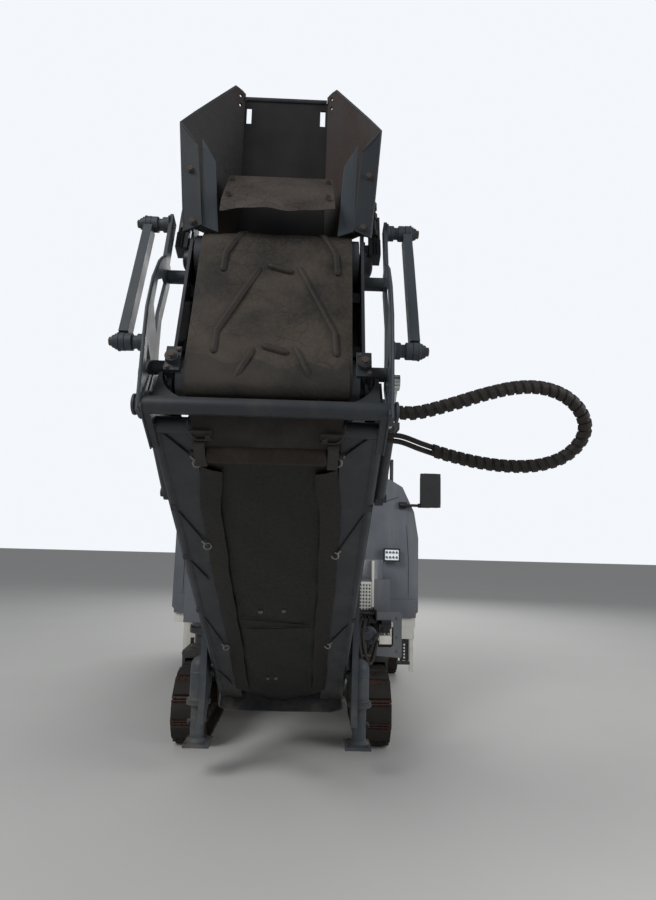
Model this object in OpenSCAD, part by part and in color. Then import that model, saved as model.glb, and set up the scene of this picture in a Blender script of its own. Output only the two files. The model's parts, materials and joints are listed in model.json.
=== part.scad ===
// Compact cold planer on four tracks, with its discharge conveyor folded.
// Frame: +Z up, the conveyor end faces -Y, the origin is on the ground
// under the middle of the front tracks. Every size is in millimetres.

/* [Tracks] */
// Width of a track shoe
shoe_w = 260; // [220:10:300]
// Length of a track over its grousers
track_l = 1340; // [1200:10:1400]
// Height of a track over its grousers
track_h = 550; // [500:10:600]
// Height of a grouser
grouser_h = 34; // [20:1:40]
// Number of shoes on a track
shoe_n = 20; // [16:1:26]
// Distance from the centre plane to a front track
front_x = 690; // [660:5:700]
// Distance from the centre plane to a rear track
rear_x = 1120; // [1080:5:1140]
// Distance from the front tracks to the rear tracks
wheelbase = 2700; // [2650:10:2900]

/* [Columns] */
// Radius of a lifting column's outer tube
barrel_r = 120; // [105:1:130]
// Radius of a lifting column's inner tube
stem_r = 90; // [70:1:95]
// Height of the bottom of the outer tubes
barrel_z = 760; // [740:5:800]
// Height of the top of the outer tubes
barrel_top = 1400; // [1300:10:1420]

/* [Milling drum] */
// Cutting width of the milling drum
drum_w = 1200; // [1000:10:1260]
// Radius of the drum over the tips of its tools
drum_r = 450; // [420:5:455]
// Distance from the front tracks to the drum's axle
drum_y = 1360; // [1340:5:1380]
// Height of the drum's axle
drum_z = 474; // [470:1:490]
// Number of tools along one helix
tool_n = 12; // [8:1:14]

/* [Body] */
// Width of the hoods
hood_w = 2220; // [2180:10:2300]
// Distance of the hoods' middle to the right of the tracks' middle
body_x = 60; // [0:5:80]
// Height of the front hood's top
cowl_top = 2140; // [2050:10:2200]
// Front face of the front hood
cowl_y = 260; // [240:5:400]
// Height of the operator's deck
deck_z = 1500; // [1450:10:1550]
// Rear end of the machine
rear_y = 4300; // [4200:10:4500]
// Height of the engine hood's top
engine_top = 2060; // [2000:10:2150]
// Height of the canopy's top
roof_top = 2950; // [2800:10:3000]

/* [Conveyor] */
// Width over the conveyor frame's side plates
conv_w = 880; // [860:10:900]
// Slope of the inner section in degrees
incline = 32.5; // [25:0.5:33]
// Angle from the inner section to the folded outer section in degrees
fold_angle = 75.5; // [60:0.5:80]
// Distance from the luffing pins to the fold pipe
inner_l = 2514; // [2400:10:2600]
// Distance from the luffing pins back to the tail
tail_l = 490; // [450:5:500]
// Distance of the slewing axis in front of the front tracks
slew_y = 1150; // [1130:5:1250]
// Height of the luffing pins
luff_z = 670; // [660:5:700]
// Width of the rubber belt
belt_w = 620; // [560:10:640]
// Distance from the fold pipe to the head drum
head_l = 760; // [700:10:800]
// Outer radius of the fold pipe
pipe_r = 33; // [28:1:40]

/* [Hidden] */
$fn = 48;
gap = 0.3;
run = 6;
plate = 12;
track_r = track_h / 2;
track_c = track_l - track_h;
link_r = track_r - grouser_h;
chain_t = 26;
path_l = 2 * track_c + 2 * PI * link_r;
shoe_pitch = path_l / shoe_n;
cheek_t = 24;
cheek_x = shoe_w / 2 + run;
yoke_z = track_h + 24;
yoke_t = 60;
axle_r = 45;
ring_z = 1270;
ring_t = 56;
ring_r = conv_w / 2 + 60;
deck_y0 = 1560;
deck_y1 = 2760;
engine_y0 = deck_y1 + 80;
housing_x = 740;
housing_y0 = drum_y - 560;
housing_y1 = drum_y + 560;
housing_top = 1000;
wall_h = 250;
hanger_x = conv_w / 2 + 30;
hanger_t = 40;
throat_r = 410;
bearing_z = ring_z + ring_t + run;
bearing_t = 46;
frame_top = 1240;
side_x = hood_w / 2 - 20;
cowl_t = 24;
cowl_z = 880;
skirt_z = 800;
nose_y = -500;
lug_t = 30;
lug_r = 32;
door_z = 600;
shaft_r = 110;
hood_hinge_y = rear_y - 92;
hood_hinge_z = 1326;
hinge_lug_x = side_x - 150;
head_r = 105;
belt_t = 14;
outer_half = conv_w / 2 - 80;
pipe_x = conv_w / 2 + 35;
inner_belt_r = 70;
inner_belt_z = 130;
inner_belt_l = inner_l + tail_l - 440;
luff_pin_r = 26;
hood_end = head_l + 60;
hood_back = 196;
hood_turn = fold_angle + incline - 90;
hood_flare = 39;
hood_h = 880;
hood_half = 200;
hood_wall = 8;
flap_up = 370;
flap_front = 120;
flap_rod_r = 12;

// Cylinders: the foot and the eye at rest, in each section's own plane as
// [distance along it, height above it], measured from its pivot.
cyl_x = conv_w / 2 + 44;
fold_foot = [700, 130];
fold_pin_r = 200;
fold_pin_a = 80;
fold_eye = [fold_pin_r * cos(fold_pin_a), fold_pin_r * sin(fold_pin_a)];
fold_len = norm(fold_foot - fold_eye);
fold_tilt = atan2(fold_eye[1] - fold_foot[1], fold_foot[0] - fold_eye[0]);
luff_x = conv_w / 2 - 40;
eye_side = 3;
luff_rod_r = 15.7;
fold_rod_r = 13.7;
luff_foot = [150, 444];
luff_eye = [1500, 300];
luff_eye_at = [
    luff_eye[0] * cos(incline) - luff_eye[1] * sin(incline),
    luff_eye[0] * sin(incline) + luff_eye[1] * cos(incline)
];
luff_len = norm(luff_eye_at - luff_foot);
luff_tilt = atan2(luff_eye_at[1] - luff_foot[1], luff_eye_at[0] - luff_foot[0]);

TRACKS = [
    // suffix, side, distance from the centre plane, station along the machine
    ["front_left", -1, front_x, 0],
    ["front_right", 1, front_x, 0],
    ["rear_left", -1, rear_x, wheelbase],
    ["rear_right", 1, rear_x, wheelbase]
];

// Shared helpers

module box(x0, x1, y0, y1, z0, z1) {
    translate([x0, y0, z0]) cube([x1 - x0, y1 - y0, z1 - z0]);
}

module both_sides() {
    children();
    mirror([1, 0, 0]) children();
}

// A rod along X, centred on the given x.
module rod_x(x, y, z, r, len) {
    translate([x - len / 2, y, z]) rotate([0, 90, 0]) cylinder(r = r, h = len);
}

// A plate in the YZ plane from a polygon of [y, z] points.
module plate_yz(x, t, points) {
    translate([x, 0, 0]) rotate([90, 0, 90]) linear_extrude(t) polygon(points);
}

// An outline in the XZ plane, drawn out along +Y from y.
module across(y, len) {
    translate([0, y, 0]) rotate([90, 0, 0]) mirror([0, 0, 1]) linear_extrude(len) children();
}

// Tracks

// A point on the shoe path at length s, raised by h.
function path_point(s, h) =
    let (arc = PI * link_r, r = link_r + h)
    s < track_c ? [s - track_c / 2, -r]
    : s < track_c + arc ? let (a = (s - track_c) / link_r * 180 / PI - 90)
        [track_c / 2 + r * cos(a), r * sin(a)]
    : s < 2 * track_c + arc ? [track_c / 2 - (s - track_c - arc), r]
    : let (a = (s - 2 * track_c - arc) / link_r * 180 / PI + 90)
        [-track_c / 2 + r * cos(a), r * sin(a)];

// One shoe's corners as [share of the pitch, share of the grouser's height]
SHOE = [
    [0.04, 0], [0.04, 0.5], [0.14, 0.5], [0.17, 1],
    [0.79, 1], [0.82, 0.5], [0.94, 0.5], [0.94, 0]
];

function shoe_outline() = [
    for (i = [0 : shoe_n - 1])
        for (corner = SHOE)
            path_point((i + corner[0]) * shoe_pitch, corner[1] * grouser_h)
];

module stadium(r) {
    for (side = [-1, 1]) translate([side * track_c / 2, 0]) circle(r = r);
    translate([-track_c / 2, -r]) square([track_c, 2 * r]);
}

module track_loop(x, y) {
    color("#4a4744")
        translate([x - shoe_w / 2, y, track_r])
            rotate([90, 0, 90])
                linear_extrude(shoe_w)
                    difference() {
                        polygon(shoe_outline());
                        stadium(link_r - chain_t);
                    }
}

module running_gear(x, y) {
    wheel_r = link_r - chain_t - gap;
    roller_r = 62;
    color("#2b2b2b")
        difference() {
            union() {
                for (side = [-1, 1])
                    rod_x(x, y + side * track_c / 2, track_r, wheel_r, 110);
                for (k = [-1.5 : 1 : 1.5])
                    rod_x(x, y + k * 170, track_r - wheel_r + roller_r, roller_r, 130);
                box(x - 46, x + 46, y - track_c / 2, y + track_c / 2, track_r - 105, track_r + 85);
                rod_x(x, y, track_r, axle_r + 40, 2 * (cheek_x - gap));
            }
            rod_x(x, y, track_r, axle_r + gap, 2 * cheek_x);
            for (side = [-1, 1], cheek = [-1, 1])
                rod_x(x + cheek * 50, y + side * track_c / 2, track_r, wheel_r - 46, 34);
        }
}

module yoke(x, y, stem_top) {
    cheek_l = 330;
    color("#3d4248") {
        both = [-1, 1];
        translate([x, y, 0]) {
            for (side = both)
                plate_yz(side > 0 ? cheek_x : -cheek_x - cheek_t, cheek_t, [
                    [-110, track_r - 70], [110, track_r - 70],
                    [cheek_l / 2, yoke_z + yoke_t / 2], [cheek_l / 2, yoke_z + yoke_t],
                    [-cheek_l / 2, yoke_z + yoke_t], [-cheek_l / 2, yoke_z + yoke_t / 2]
                ]);
            box(-cheek_x, cheek_x, -cheek_l / 2, cheek_l / 2, yoke_z, yoke_z + yoke_t);
            rod_x(0, 0, track_r, axle_r, 2 * cheek_x + 2 * cheek_t + 30);
            translate([0, 0, yoke_z]) cylinder(r = stem_r, h = stem_top - yoke_z);
            translate([0, 0, yoke_z]) cylinder(r = stem_r + 28, h = yoke_t + 26);
        }
    }
}

// Fixed frame and body

module chassis() {
    beam_x0 = 370;
    beam_x1 = 505;
    rear_x1 = 790;
    skirt_x = housing_x + 60;
    side_y = cowl_y + cowl_t + gap;
    color("#e9e6dd") {
        difference() {
            union() {
                both_sides() {
                    box(beam_x0, beam_x1, nose_y, housing_y0 - gap, 800, frame_top);
                    box(beam_x1 - 1, front_x + barrel_r + 45, -170, 170, 860, frame_top);
                    box(rear_x1 - 60, rear_x + barrel_r + 20, wheelbase - 190, wheelbase + 190, 860, 1300);
                    tie_down(440, nose_y - 60, nose_y + 1, 860);
                    tie_down(640, rear_y - 61, rear_y + 30, 760);
                }
                box(-beam_x1, beam_x1, nose_y, nose_y + 110, 860, 960);
                box(-rear_x1, rear_x1, housing_y1 + 20, rear_y - 60, 660, frame_top);
                translate([body_x, 0, 0]) {
                    both_sides() {
                        box(beam_x1 + body_x - 1, side_x, side_y, housing_y0 - gap, cowl_z, frame_top);
                        box(skirt_x + body_x, side_x, side_y, housing_y1 + 40, skirt_z, 1020);
                        translate([hinge_lug_x, hood_hinge_y, 0])
                            box(0, lug_t, -20, 20, 1290, hood_hinge_z + 20);
                        step_pair(skirt_x + body_x + 10);
                    }
                    box(-side_x, side_x, housing_y0, housing_y1 + 60, housing_top + gap, frame_top);
                    box(-side_x, side_x, deck_y1, rear_y, 1160, 1300);
                }
                for (t = TRACKS)
                    translate([t[1] * t[2], t[3], barrel_z]) {
                        cylinder(r = barrel_r, h = barrel_top - barrel_z);
                        cylinder(r = barrel_r + 14, h = 50);
                    }
            }
            for (t = TRACKS)
                translate([t[1] * t[2], t[3], barrel_z - 1])
                    cylinder(r = stem_r + gap, h = barrel_top - barrel_z - 29);
            both_sides() {
                rod_x(440 + lug_t / 2, nose_y - 36, 860, lug_r, 3 * lug_t);
                rod_x(640 + lug_t / 2, rear_y + 2, 760, lug_r, 3 * lug_t);
            }
        }
    }
}

// A tie-down lug: a plate that stands out along the machine. Its hole is cut with the chassis.
module tie_down(x, y0, y1, z) {
    box(x, x + lug_t, y0, y1, z - 50, z + 50);
}

// Two treads and the strips that carry them, under the chassis' side.
module step_pair(x0) {
    step_y = housing_y1 - 330;
    step_w = 230;
    tread_t = 36;
    x1 = side_x - 40;
    for (z = [480, 680]) box(x0, x1, step_y, step_y + step_w, z, z + tread_t);
    for (y = [step_y, step_y + step_w - 18]) box(x1 - 18, x1, y, y + 18, 440, skirt_z + 1);
}

// The fixed half of the slewing ring, on two arms that stand on the chassis.
module slew_bearing() {
    arm_x = ring_r - 60;
    arm_z = bearing_z + 8;
    color("#3d4248") {
        translate([0, -slew_y, bearing_z])
            difference() {
                cylinder(r = ring_r, h = bearing_t);
                translate([0, 0, -1]) cylinder(r = throat_r + run / 2, h = bearing_t + 2);
            }
        both_sides() {
            box(arm_x, arm_x + 55, -slew_y, nose_y + 30, arm_z, arm_z + 60);
            box(arm_x, arm_x + 55, nose_y, nose_y + 70, frame_top + gap, arm_z + 60);
        }
    }
}

module drum_housing() {
    wall = 25;
    color("#dedbd2")
        difference() {
            box(-housing_x, housing_x, housing_y0, housing_y1, 230, housing_top);
            box(-housing_x + wall, housing_x - wall, housing_y0 + 20, housing_y1 - 20, -1, housing_top - 20);
            // Opening for the scraper door
            box(-housing_x + wall, housing_x - wall, housing_y1 - 60, housing_y1 + 1, -1, door_z + 34);
            // Mouth for the primary conveyor
            box(-330, 330, housing_y0 - 1, housing_y0 + 30, 420, 830);
            for (side = [-1, 1])
                rod_x(side * housing_x, drum_y, drum_z, shaft_r + gap, 200);
        }
}

module engine_block() {
    color("#6b6f72") box(-420, 420, engine_y0 + 240, rear_y - 420, 1300 + gap, 1900);
}

module front_hood() {
    half = hood_w / 2;
    chamfer = 150;
    color("#7d8084")
        translate([body_x, 0, 0]) {
            across(cowl_y, deck_y0 - cowl_y - 10)
                polygon([
                    [-half, frame_top + gap], [-half, cowl_top - 540], [-half + 40, cowl_top - 300],
                    [-half + chamfer, cowl_top - 70], [-half + chamfer + 120, cowl_top],
                    [half - chamfer - 120, cowl_top], [half - chamfer, cowl_top - 70],
                    [half - 40, cowl_top - 300], [half, cowl_top - 540], [half, frame_top + gap]
                ]);
            both_sides() {
                across(cowl_y, cowl_t)
                    polygon([
                        [half - 400, cowl_z], [half - 60, cowl_z], [half, cowl_z + 60],
                        [half, frame_top + 1], [half - 400, frame_top + 1]
                    ]);
                box(side_x + gap, half, cowl_y + 1, housing_y0 + 400, cowl_z + 60, frame_top + 1);
            }
        }
}

module platform() {
    color("#45484b")
        translate([body_x, 0, 0]) {
            box(-side_x, side_x, deck_y0 + 10, deck_y1 - 20, deck_z - 60, deck_z);
            both_sides()
                box(side_x - 150, side_x - 10, deck_y0 + 40, wheelbase - 300, frame_top + gap, deck_z - 59);
            box(-760, 760, deck_y0 + 200, wheelbase - 300, frame_top + gap, deck_z - 59);
        }
}

module guard_rails() {
    post_r = 21;
    rail_r = 18;
    rail_z = deck_z + 1000;
    stations = [deck_y0 + 120, (deck_y0 + deck_y1) / 2, deck_y1 - 120];
    rail_x = side_x - 50;
    color("#2e3133")
        translate([body_x, 0, 0])
            both_sides() {
                for (y = stations)
                    translate([rail_x, y, deck_z + gap]) cylinder(r = post_r, h = rail_z - deck_z);
                for (z = [deck_z + 500, rail_z])
                    translate([rail_x, deck_y0 + 90, z]) rotate([-90, 0, 0])
                        cylinder(r = rail_r, h = deck_y1 - deck_y0 - 180);
            }
}

module canopy() {
    post = 60;
    roof_t = 110;
    post_x = side_x - 230;
    posts = [deck_y0 + 60, deck_y1 - 60];
    color("#3d4044")
        translate([body_x, 0, 0]) {
            both_sides()
                for (y = posts)
                    translate([post_x, y, 0])
                        box(0, post, -post / 2, post / 2, deck_z + gap, roof_top - roof_t + 1);
            box(-side_x, side_x, deck_y0 - 160, deck_y1 + 240, roof_top - roof_t, roof_top - 40);
            box(-side_x + 60, side_x - 60, deck_y0 - 100, deck_y1 + 180, roof_top - 41, roof_top);
        }
}

module seat() {
    color("#26282a") {
        translate([body_x + 420, deck_y1 - 420, deck_z + gap]) {
            box(-90, 90, -110, 110, 0, 300);
            box(-240, 240, -240, 240, 300, 410);
            box(-230, 230, 170, 260, 400, 860);
        }
    }
}

module console() {
    console_w = 1240;
    color("#55585c")
        translate([body_x - console_w / 2, 0, 0]) {
            box(0, console_w, deck_y0 + 30, deck_y0 + 260, deck_z + gap, deck_z + 560);
            plate_yz(0, console_w, [
                [deck_y0 + 30, deck_z + 559], [deck_y0 + 420, deck_z + 559],
                [deck_y0 + 420, deck_z + 640], [deck_y0 + 30, deck_z + 760]
            ]);
        }
}

module work_lamps() {
    lamp_w = 130;
    lamp_h = 100;
    color("#d8dadb")
        translate([body_x, cowl_y - 56, 1445])
            both_sides()
                translate([hood_w / 2 - 250, 0, 0]) {
                    box(-lamp_w / 2, lamp_w / 2, 0, 40, -lamp_h / 2, lamp_h / 2);
                    box(-20, 20, 39, 56 - gap, -20, 20);
                }
}

module mirror_arm() {
    root_x = body_x + hood_w / 2 - 150;
    head_x = body_x + hood_w / 2 + 10;
    arm_z = 1900;
    color("#1d1e1f") {
        box(root_x - 35, root_x + 35, cowl_y - 24, cowl_y - gap, arm_z - 30, arm_z + 30);
        rod_x((root_x + head_x + 30) / 2, cowl_y - 34, arm_z, 13, head_x + 30 - root_x);
        box(head_x, head_x + 180, cowl_y - 80, cowl_y - 20, arm_z - 15, arm_z + 295);
    }
}

module primary_conveyor() {
    low = [housing_y0 + 40, 640];
    high = [160 - slew_y, 1720];
    slope = atan2(high[1] - low[1], low[0] - high[0]);
    len = norm(high - low);
    color("#3a4450")
        translate([0, low[0], low[1]])
            rotate([-slope, 0, 0]) {
                difference() {
                    box(-320, 320, -len, 0, -90, 130);
                    box(-300, 300, -len - 1, 1, -60, 131);
                }
                box(-280, 280, -len + 60, -20, -30, 40);
                for (y = [-len + 60, -60]) rod_x(0, y, 20, 85, 590);
                rod_x(0, -900, -60, 26, 2 * (370 - gap));
            }
}

module rear_grille() {
    bar_h = 22;
    bars = 14;
    low = 1340;
    pitch = 46;
    color("#2d2f31")
        translate([body_x, 0, 0]) {
            both_sides() box(700, 760, rear_y - 58, rear_y - 8, 1300 + gap, low + bars * pitch);
            for (k = [0 : bars - 1])
                box(-701, 701, rear_y - 50, rear_y - 14, low + k * pitch, low + k * pitch + bar_h);
        }
}

module engine_hood() {
    half = hood_w / 2 - 60;
    wall = 30;
    low = 1300 + run;
    pin_x0 = hinge_lug_x + lug_t + gap;
    pin_x1 = half - wall / 2;
    color("#7d8084")
        translate([body_x, 0, 0]) {
            across(engine_y0, rear_y - 84 - engine_y0)
                difference() {
                    polygon([
                        [-half, low], [-half, engine_top - 260], [-half + 160, engine_top],
                        [half - 160, engine_top], [half, engine_top - 260], [half, low]
                    ]);
                    polygon([
                        [-half + wall, low - 1], [-half + wall, engine_top - 272],
                        [-half + 172, engine_top - wall], [half - 172, engine_top - wall],
                        [half - wall, engine_top - 272], [half - wall, low - 1]
                    ]);
                }
            both_sides() rod_x((pin_x0 + pin_x1) / 2, hood_hinge_y, hood_hinge_z, 18, pin_x1 - pin_x0);
        }
}

module scraper_door() {
    half = housing_x - 25 - run;
    color("#cfccc3") {
        box(-half, half, housing_y1 - 40, housing_y1 - 12, 60, door_z);
        rod_x(0, housing_y1 - 26, door_z, 24, 2 * (housing_x - 25 - gap));
    }
}

module side_plate(side) {
    color("#2f3335")
        scale([side, 1, 1])
            plate_yz(housing_x + gap, 24, [
                [housing_y0 + 60, 60], [housing_y0, 130], [housing_y0, 560],
                [housing_y1 - 360, 560], [housing_y1 - 360, 130], [housing_y1 - 420, 60]
            ]);
}

module milling_drum() {
    body_r = drum_r - 120;
    helices = 4;
    color("#5c5550")
        translate([0, drum_y, drum_z]) {
            rod_x(0, 0, 0, body_r, drum_w);
            rod_x(0, 0, 0, shaft_r, 2 * housing_x - 4);
            for (h = [0 : helices - 1], k = [0 : tool_n - 1])
                let (x = (k + 0.5 + h / helices * 0.5) / (tool_n + 0.5) * (drum_w - 60) - (drum_w - 60) / 2)
                    rotate([h * 360 / helices + k * 26, 0, 0]) {
                        box(x - 22, x + 22, -34, 34, body_r - 14, body_r + 62);
                        translate([x, 0, body_r + 40]) cylinder(r = 15, h = drum_r - body_r - 40, $fn = 6);
                    }
        }
}

// Discharge conveyor: each section is drawn flat along -Y from its pivot, then turned.

module at_inner() {
    translate([0, -slew_y, luff_z]) rotate([-incline, 0, 0]) children();
}

module at_outer() {
    at_inner() translate([0, -inner_l, 0]) rotate([-fold_angle, 0, 0]) children();
}

module slew_hanger() {
    foot_x0 = luff_x - 28;
    color("#46515e")
        translate([0, -slew_y, 0]) {
            translate([0, 0, ring_z])
                difference() {
                    cylinder(r = ring_r + 20, h = ring_t);
                    translate([0, 0, -1]) cylinder(r = throat_r - 15, h = ring_t + 2);
                }
            // Throat through the bearing, with the lip that hangs on it
            translate([0, 0, ring_z + ring_t - 1])
                difference() {
                    union() {
                        cylinder(r = throat_r, h = run + bearing_t + 20);
                        translate([0, 0, run + bearing_t + 1 + gap]) cylinder(r = throat_r + 22, h = 18);
                    }
                    translate([0, 0, -1]) cylinder(r = throat_r - 15, h = run + bearing_t + 30);
                }
            both_sides() {
                difference() {
                    union() {
                        plate_yz(hanger_x, hanger_t, [
                            [-190, ring_z + 10], [-150, luff_z - 90], [-170, luff_z - 290],
                            [-60, luff_z - 290], [120, luff_z - 90], [190, ring_z + 10]
                        ]);
                        support_leg(hanger_x + hanger_t + 24);
                    }
                    rod_x(hanger_x + hanger_t, 0, luff_z, luff_pin_r + gap, 4 * hanger_t);
                }
                translate([(foot_x0 + hanger_x) / 2 + 1, -luff_foot[0], luff_z + luff_foot[1]])
                    rod_x(0, 0, 0, 20, hanger_x - foot_x0 + 2);
            }
        }
}

module support_leg(x) {
    translate([x, 0, 0]) {
        translate([0, 0, 470]) cylinder(r = 62, h = 240);
        translate([0, 0, 710]) sphere(r = 62);
        translate([0, 0, 470]) cylinder(r = 80, h = 22);
        translate([0, 0, 235]) cylinder(r = 46, h = 236);
        box(-95, 75, -95, 95, 215, 236);
    }
}

module inner_frame() {
    half = conv_w / 2;
    tube_r = 22;
    color("#3f4a57")
        at_inner() {
            both_sides() {
                box(half - plate, half, -inner_l + 90, tail_l - 60, -10, wall_h);
                translate([half - tube_r, tail_l - 60, 0]) rotate([90, 0, 0])
                    cylinder(r = tube_r, h = inner_l + tail_l - 150);
                box(half - 50, half, -inner_l + 160, tail_l - 60, wall_h - 8, wall_h + 4);
                box(belt_w / 2 - 30, half - 5, -inner_l + 120, tail_l - 60, -14, -6);
                pin_out(half, cyl_x + 34, -inner_l + fold_foot[0], fold_foot[1]);
                luff_lug(half);
                rod_x((half + hanger_x + hanger_t) / 2 - 1, 0, 0, luff_pin_r, hanger_x + hanger_t - half + 2);
            }
            for (y = [-inner_l + 160 : 560 : tail_l - 150]) box(-half + 2, half - 2, y, y + 50, -7, 38);
            for (y = [tail_l - 170, tail_l - 170 - inner_belt_l]) {
                rod_x(0, y, inner_belt_z, inner_belt_r - gap, belt_w + 40);
                rod_x(0, y, inner_belt_z, 26, conv_w - 4);
            }
            fold_end();
            tail_end();
        }
}

// A pin that stands out of the frame's side from x0 to x1.
module pin_out(x0, x1, y, z) {
    rod_x((x0 + x1) / 2 - 1, y, z, 20, x1 - x0 + 2);
}

// The lug for a luffing cylinder's eye, with its pin's inner end.
module luff_lug(half) {
    pin_x0 = luff_x + luff_rod_r + eye_side + run;
    box(half - plate, half, -luff_eye[0] - 50, -luff_eye[0] + 50, wall_h - 1, luff_eye[1] + 34);
    rod_x((pin_x0 + half) / 2, -luff_eye[0], luff_eye[1], 20, half - pin_x0);
}

// Cross pipe and the curved gussets that carry it.
module fold_end() {
    half = conv_w / 2;
    translate([0, -inner_l, 0]) {
        rod_x(0, 0, 0, pipe_r, 2 * pipe_x);
        rod_x(0, 110, 6, 32, 2 * half - 20);
        both_sides() {
            box(half - 26, half, 0, 200, -pipe_r, 68);
            fold_gusset(half - 26, 160);
        }
    }
}

module fold_gusset(x, size) {
    web = 14;
    translate([x, 10, 8])
        rotate([90, 0, 0])
            linear_extrude(20)
                difference() {
                    translate([-size, 0]) square([size + 1, size]);
                    translate([-size, size]) circle(r = size - web);
                }
}

module tail_end() {
    half = conv_w / 2;
    corner = 110;
    drop = 90;
    translate([0, tail_l - 60, -drop])
        linear_extrude(wall_h - 60 + drop)
            difference() {
                union() {
                    translate([-half + corner, -60]) square([conv_w - 2 * corner, 120]);
                    translate([-half + corner, -52]) circle(r = corner);
                    translate([half - corner, -52]) circle(r = corner);
                }
                translate([-half + corner, -61]) square([conv_w - 2 * corner, 108]);
                translate([-half + corner, -52]) circle(r = corner - plate);
                translate([half - corner, -52]) circle(r = corner - plate);
                translate([-half - 1, -300]) square([conv_w + 2, 240]);
            }
}

module pan_liner() {
    half = belt_w / 2 - 10;
    color("#1d1a18")
        at_inner() box(-half, half, -inner_l + 150, tail_l - 62, -26, -14 - gap);
}

module inner_belt() {
    color("#4a443e")
        at_inner()
            translate([-belt_w / 2, tail_l - 170, inner_belt_z])
                rotate([90, 0, 90])
                    linear_extrude(belt_w)
                        belt_loop(inner_belt_r, inner_belt_l);
}

// A flat belt loop over two drums of radius r, drawn along -X.
module belt_loop(r, len) {
    difference() {
        union() {
            circle(r = r + belt_t);
            translate([-len, 0]) circle(r = r + belt_t);
            translate([-len, -r - belt_t]) square([len, 2 * (r + belt_t)]);
        }
        circle(r = r);
        translate([-len, 0]) circle(r = r);
        translate([-len, -r]) square([len, 2 * r]);
    }
}

module outer_frame() {
    half = outer_half;
    color("#3f4a57")
        at_outer() {
            both_sides() {
                box(half - plate, half, -head_l - 60, -125, -20, 190);
                box(half - 44, half, -head_l - 60, -125, 180, 192);
            }
            for (y = [-330, -600]) box(-half + 2, half - 2, y, y + 50, 60, 100);
            for (y = [-150, -head_l]) {
                rod_x(0, y, 80, head_r - gap, belt_w + 60);
                rod_x(0, y, 80, 40, 2 * half);
            }
        }
}

module outer_belt() {
    cleat = 22;
    len = head_l - 150;
    color("#4d463f")
        at_outer() {
            translate([-belt_w / 2, -150, 80])
                rotate([90, 0, 90])
                    linear_extrude(belt_w)
                        belt_loop(head_r, len);
            for (y = [-head_l + 60, -head_l + 390])
                chevron(y, 80 - head_r - belt_t, cleat);
        }
}

// One V of cleats on the return run.
module chevron(y, z, h) {
    translate([0, y, z - h])
        linear_extrude(h + 2) {
            translate([-50, -14]) square([100, 24]);
            for (side = [-1, 1])
                translate([side * 60, 6]) rotate(side * 64)
                    translate([side > 0 ? 0 : -260, -12]) square([260, 24]);
        }
}

module fold_plates() {
    neck_x = conv_w / 2 + run;
    link_x = neck_x + 96;
    pin_l = link_x + 30 - neck_x;
    boss_t = neck_x - outer_half + 4;
    low = [-250, -30];
    top = [-head_l - 130, 10];
    color("#4b5664")
        at_outer()
            both_sides() {
                difference() {
                    plate_yz(neck_x, 14, [
                        [40, -30], [40, 30], [-60, 90], [-182, 140], [-300, 90], [-420, 60],
                        [-620, 90], [-700, 60], [-700, -10], [-620, -70], [-500, -110],
                        [-350, -120], [-200, -90], [-40, -50]
                    ]);
                    rod_x(neck_x + 7, 0, 0, pipe_r + gap, 40);
                    plate_yz(neck_x - 1, 16, [
                        [-330, 20], [-400, -70], [-520, -70], [-600, 10], [-600, 40], [-420, 10]
                    ]);
                    plate_yz(neck_x - 1, 16, [[-120, -30], [-230, -60], [-200, 0]]);
                }
                for (y = [-200, -650])
                    rod_x(outer_half + gap + boss_t / 2, y, 60, 28, boss_t);
                for (end = [low, top]) rod_x(neck_x + 10 + pin_l / 2, end[0], end[1], 25, pin_l);
                translate([neck_x, top[0], top[1]]) box(0, 14, -lug_r, 200, -lug_r, lug_r);
                link_bar(link_x, 12, low, top, 34);
            }
}

// A flat bar in the YZ plane from x to x + t, with a round boss at each end.
module link_bar(x, t, p, q, r) {
    for (end = [p, q]) rod_x(x + t / 2, end[0], end[1], r, t + 8);
    translate([x, p[0], p[1]])
        rotate([atan2(q[1] - p[1], q[0] - p[0]), 0, 0])
            translate([0, 0, -r / 2]) cube([t, norm(q - p), r]);
}

// The hood's own plane: up is -Y, and the back is +Z.
module at_hood() {
    at_outer() translate([0, -hood_end, hood_back]) rotate([hood_turn, 0, 0]) children();
}

module discharge_hood() {
    low = 90;
    ear_l = 120;
    // Each side plate's outline as [distance from the back, height]
    outline = [
        [0, 0], [0, hood_h], [60, hood_h], [358, 520],
        [306, 60], [238, low + 6], [50, low + 20], [10, 0]
    ];
    rod_half = hood_half + (flap_front - 2) * tan(hood_flare);
    color("#3a3330") {
        at_hood() {
            box(-hood_half, hood_half, -hood_h, 0, 0, hood_wall);
            both_sides()
                translate([hood_half - hood_wall, 0, 2]) rotate([0, 90 - hood_flare, 0])
                    linear_extrude(hood_wall) polygon([for (p = outline) [p[0], -p[1]]]);
            rod_x(0, -flap_up, -flap_front, flap_rod_r, 2 * rod_half);
        }
        at_outer()
            both_sides()
                box(outer_half - plate + 1, outer_half - 1, -hood_end - ear_l, -hood_end - gap, -50, 60);
    }
}

module hood_flap() {
    flap_w = 450;
    flap_l = 300;
    flap_t = 10;
    flap_turn = 36;
    color("#2a2623")
        at_hood()
            translate([0, -flap_up, -flap_front]) rotate([-flap_turn, 0, 0])
                translate([0, 0, -flap_rod_r - gap]) box(-flap_w / 2, flap_w / 2, -14, flap_l, -flap_t, 0);
}

// A cylinder's outer tube: it lies along -Y from its eye.
module barrel(r, len, eye_r, rod_r) {
    difference() {
        union() {
            rotate([90, 0, 0]) cylinder(r = r, h = len);
            rod_x(0, 0, 0, eye_r + 14, 2 * r - 20);
        }
        rod_x(0, 0, 0, eye_r + gap, 3 * r);
        translate([0, -eye_r - 60, 0]) rotate([90, 0, 0]) cylinder(r = rod_r + gap, h = len);
    }
}

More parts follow.
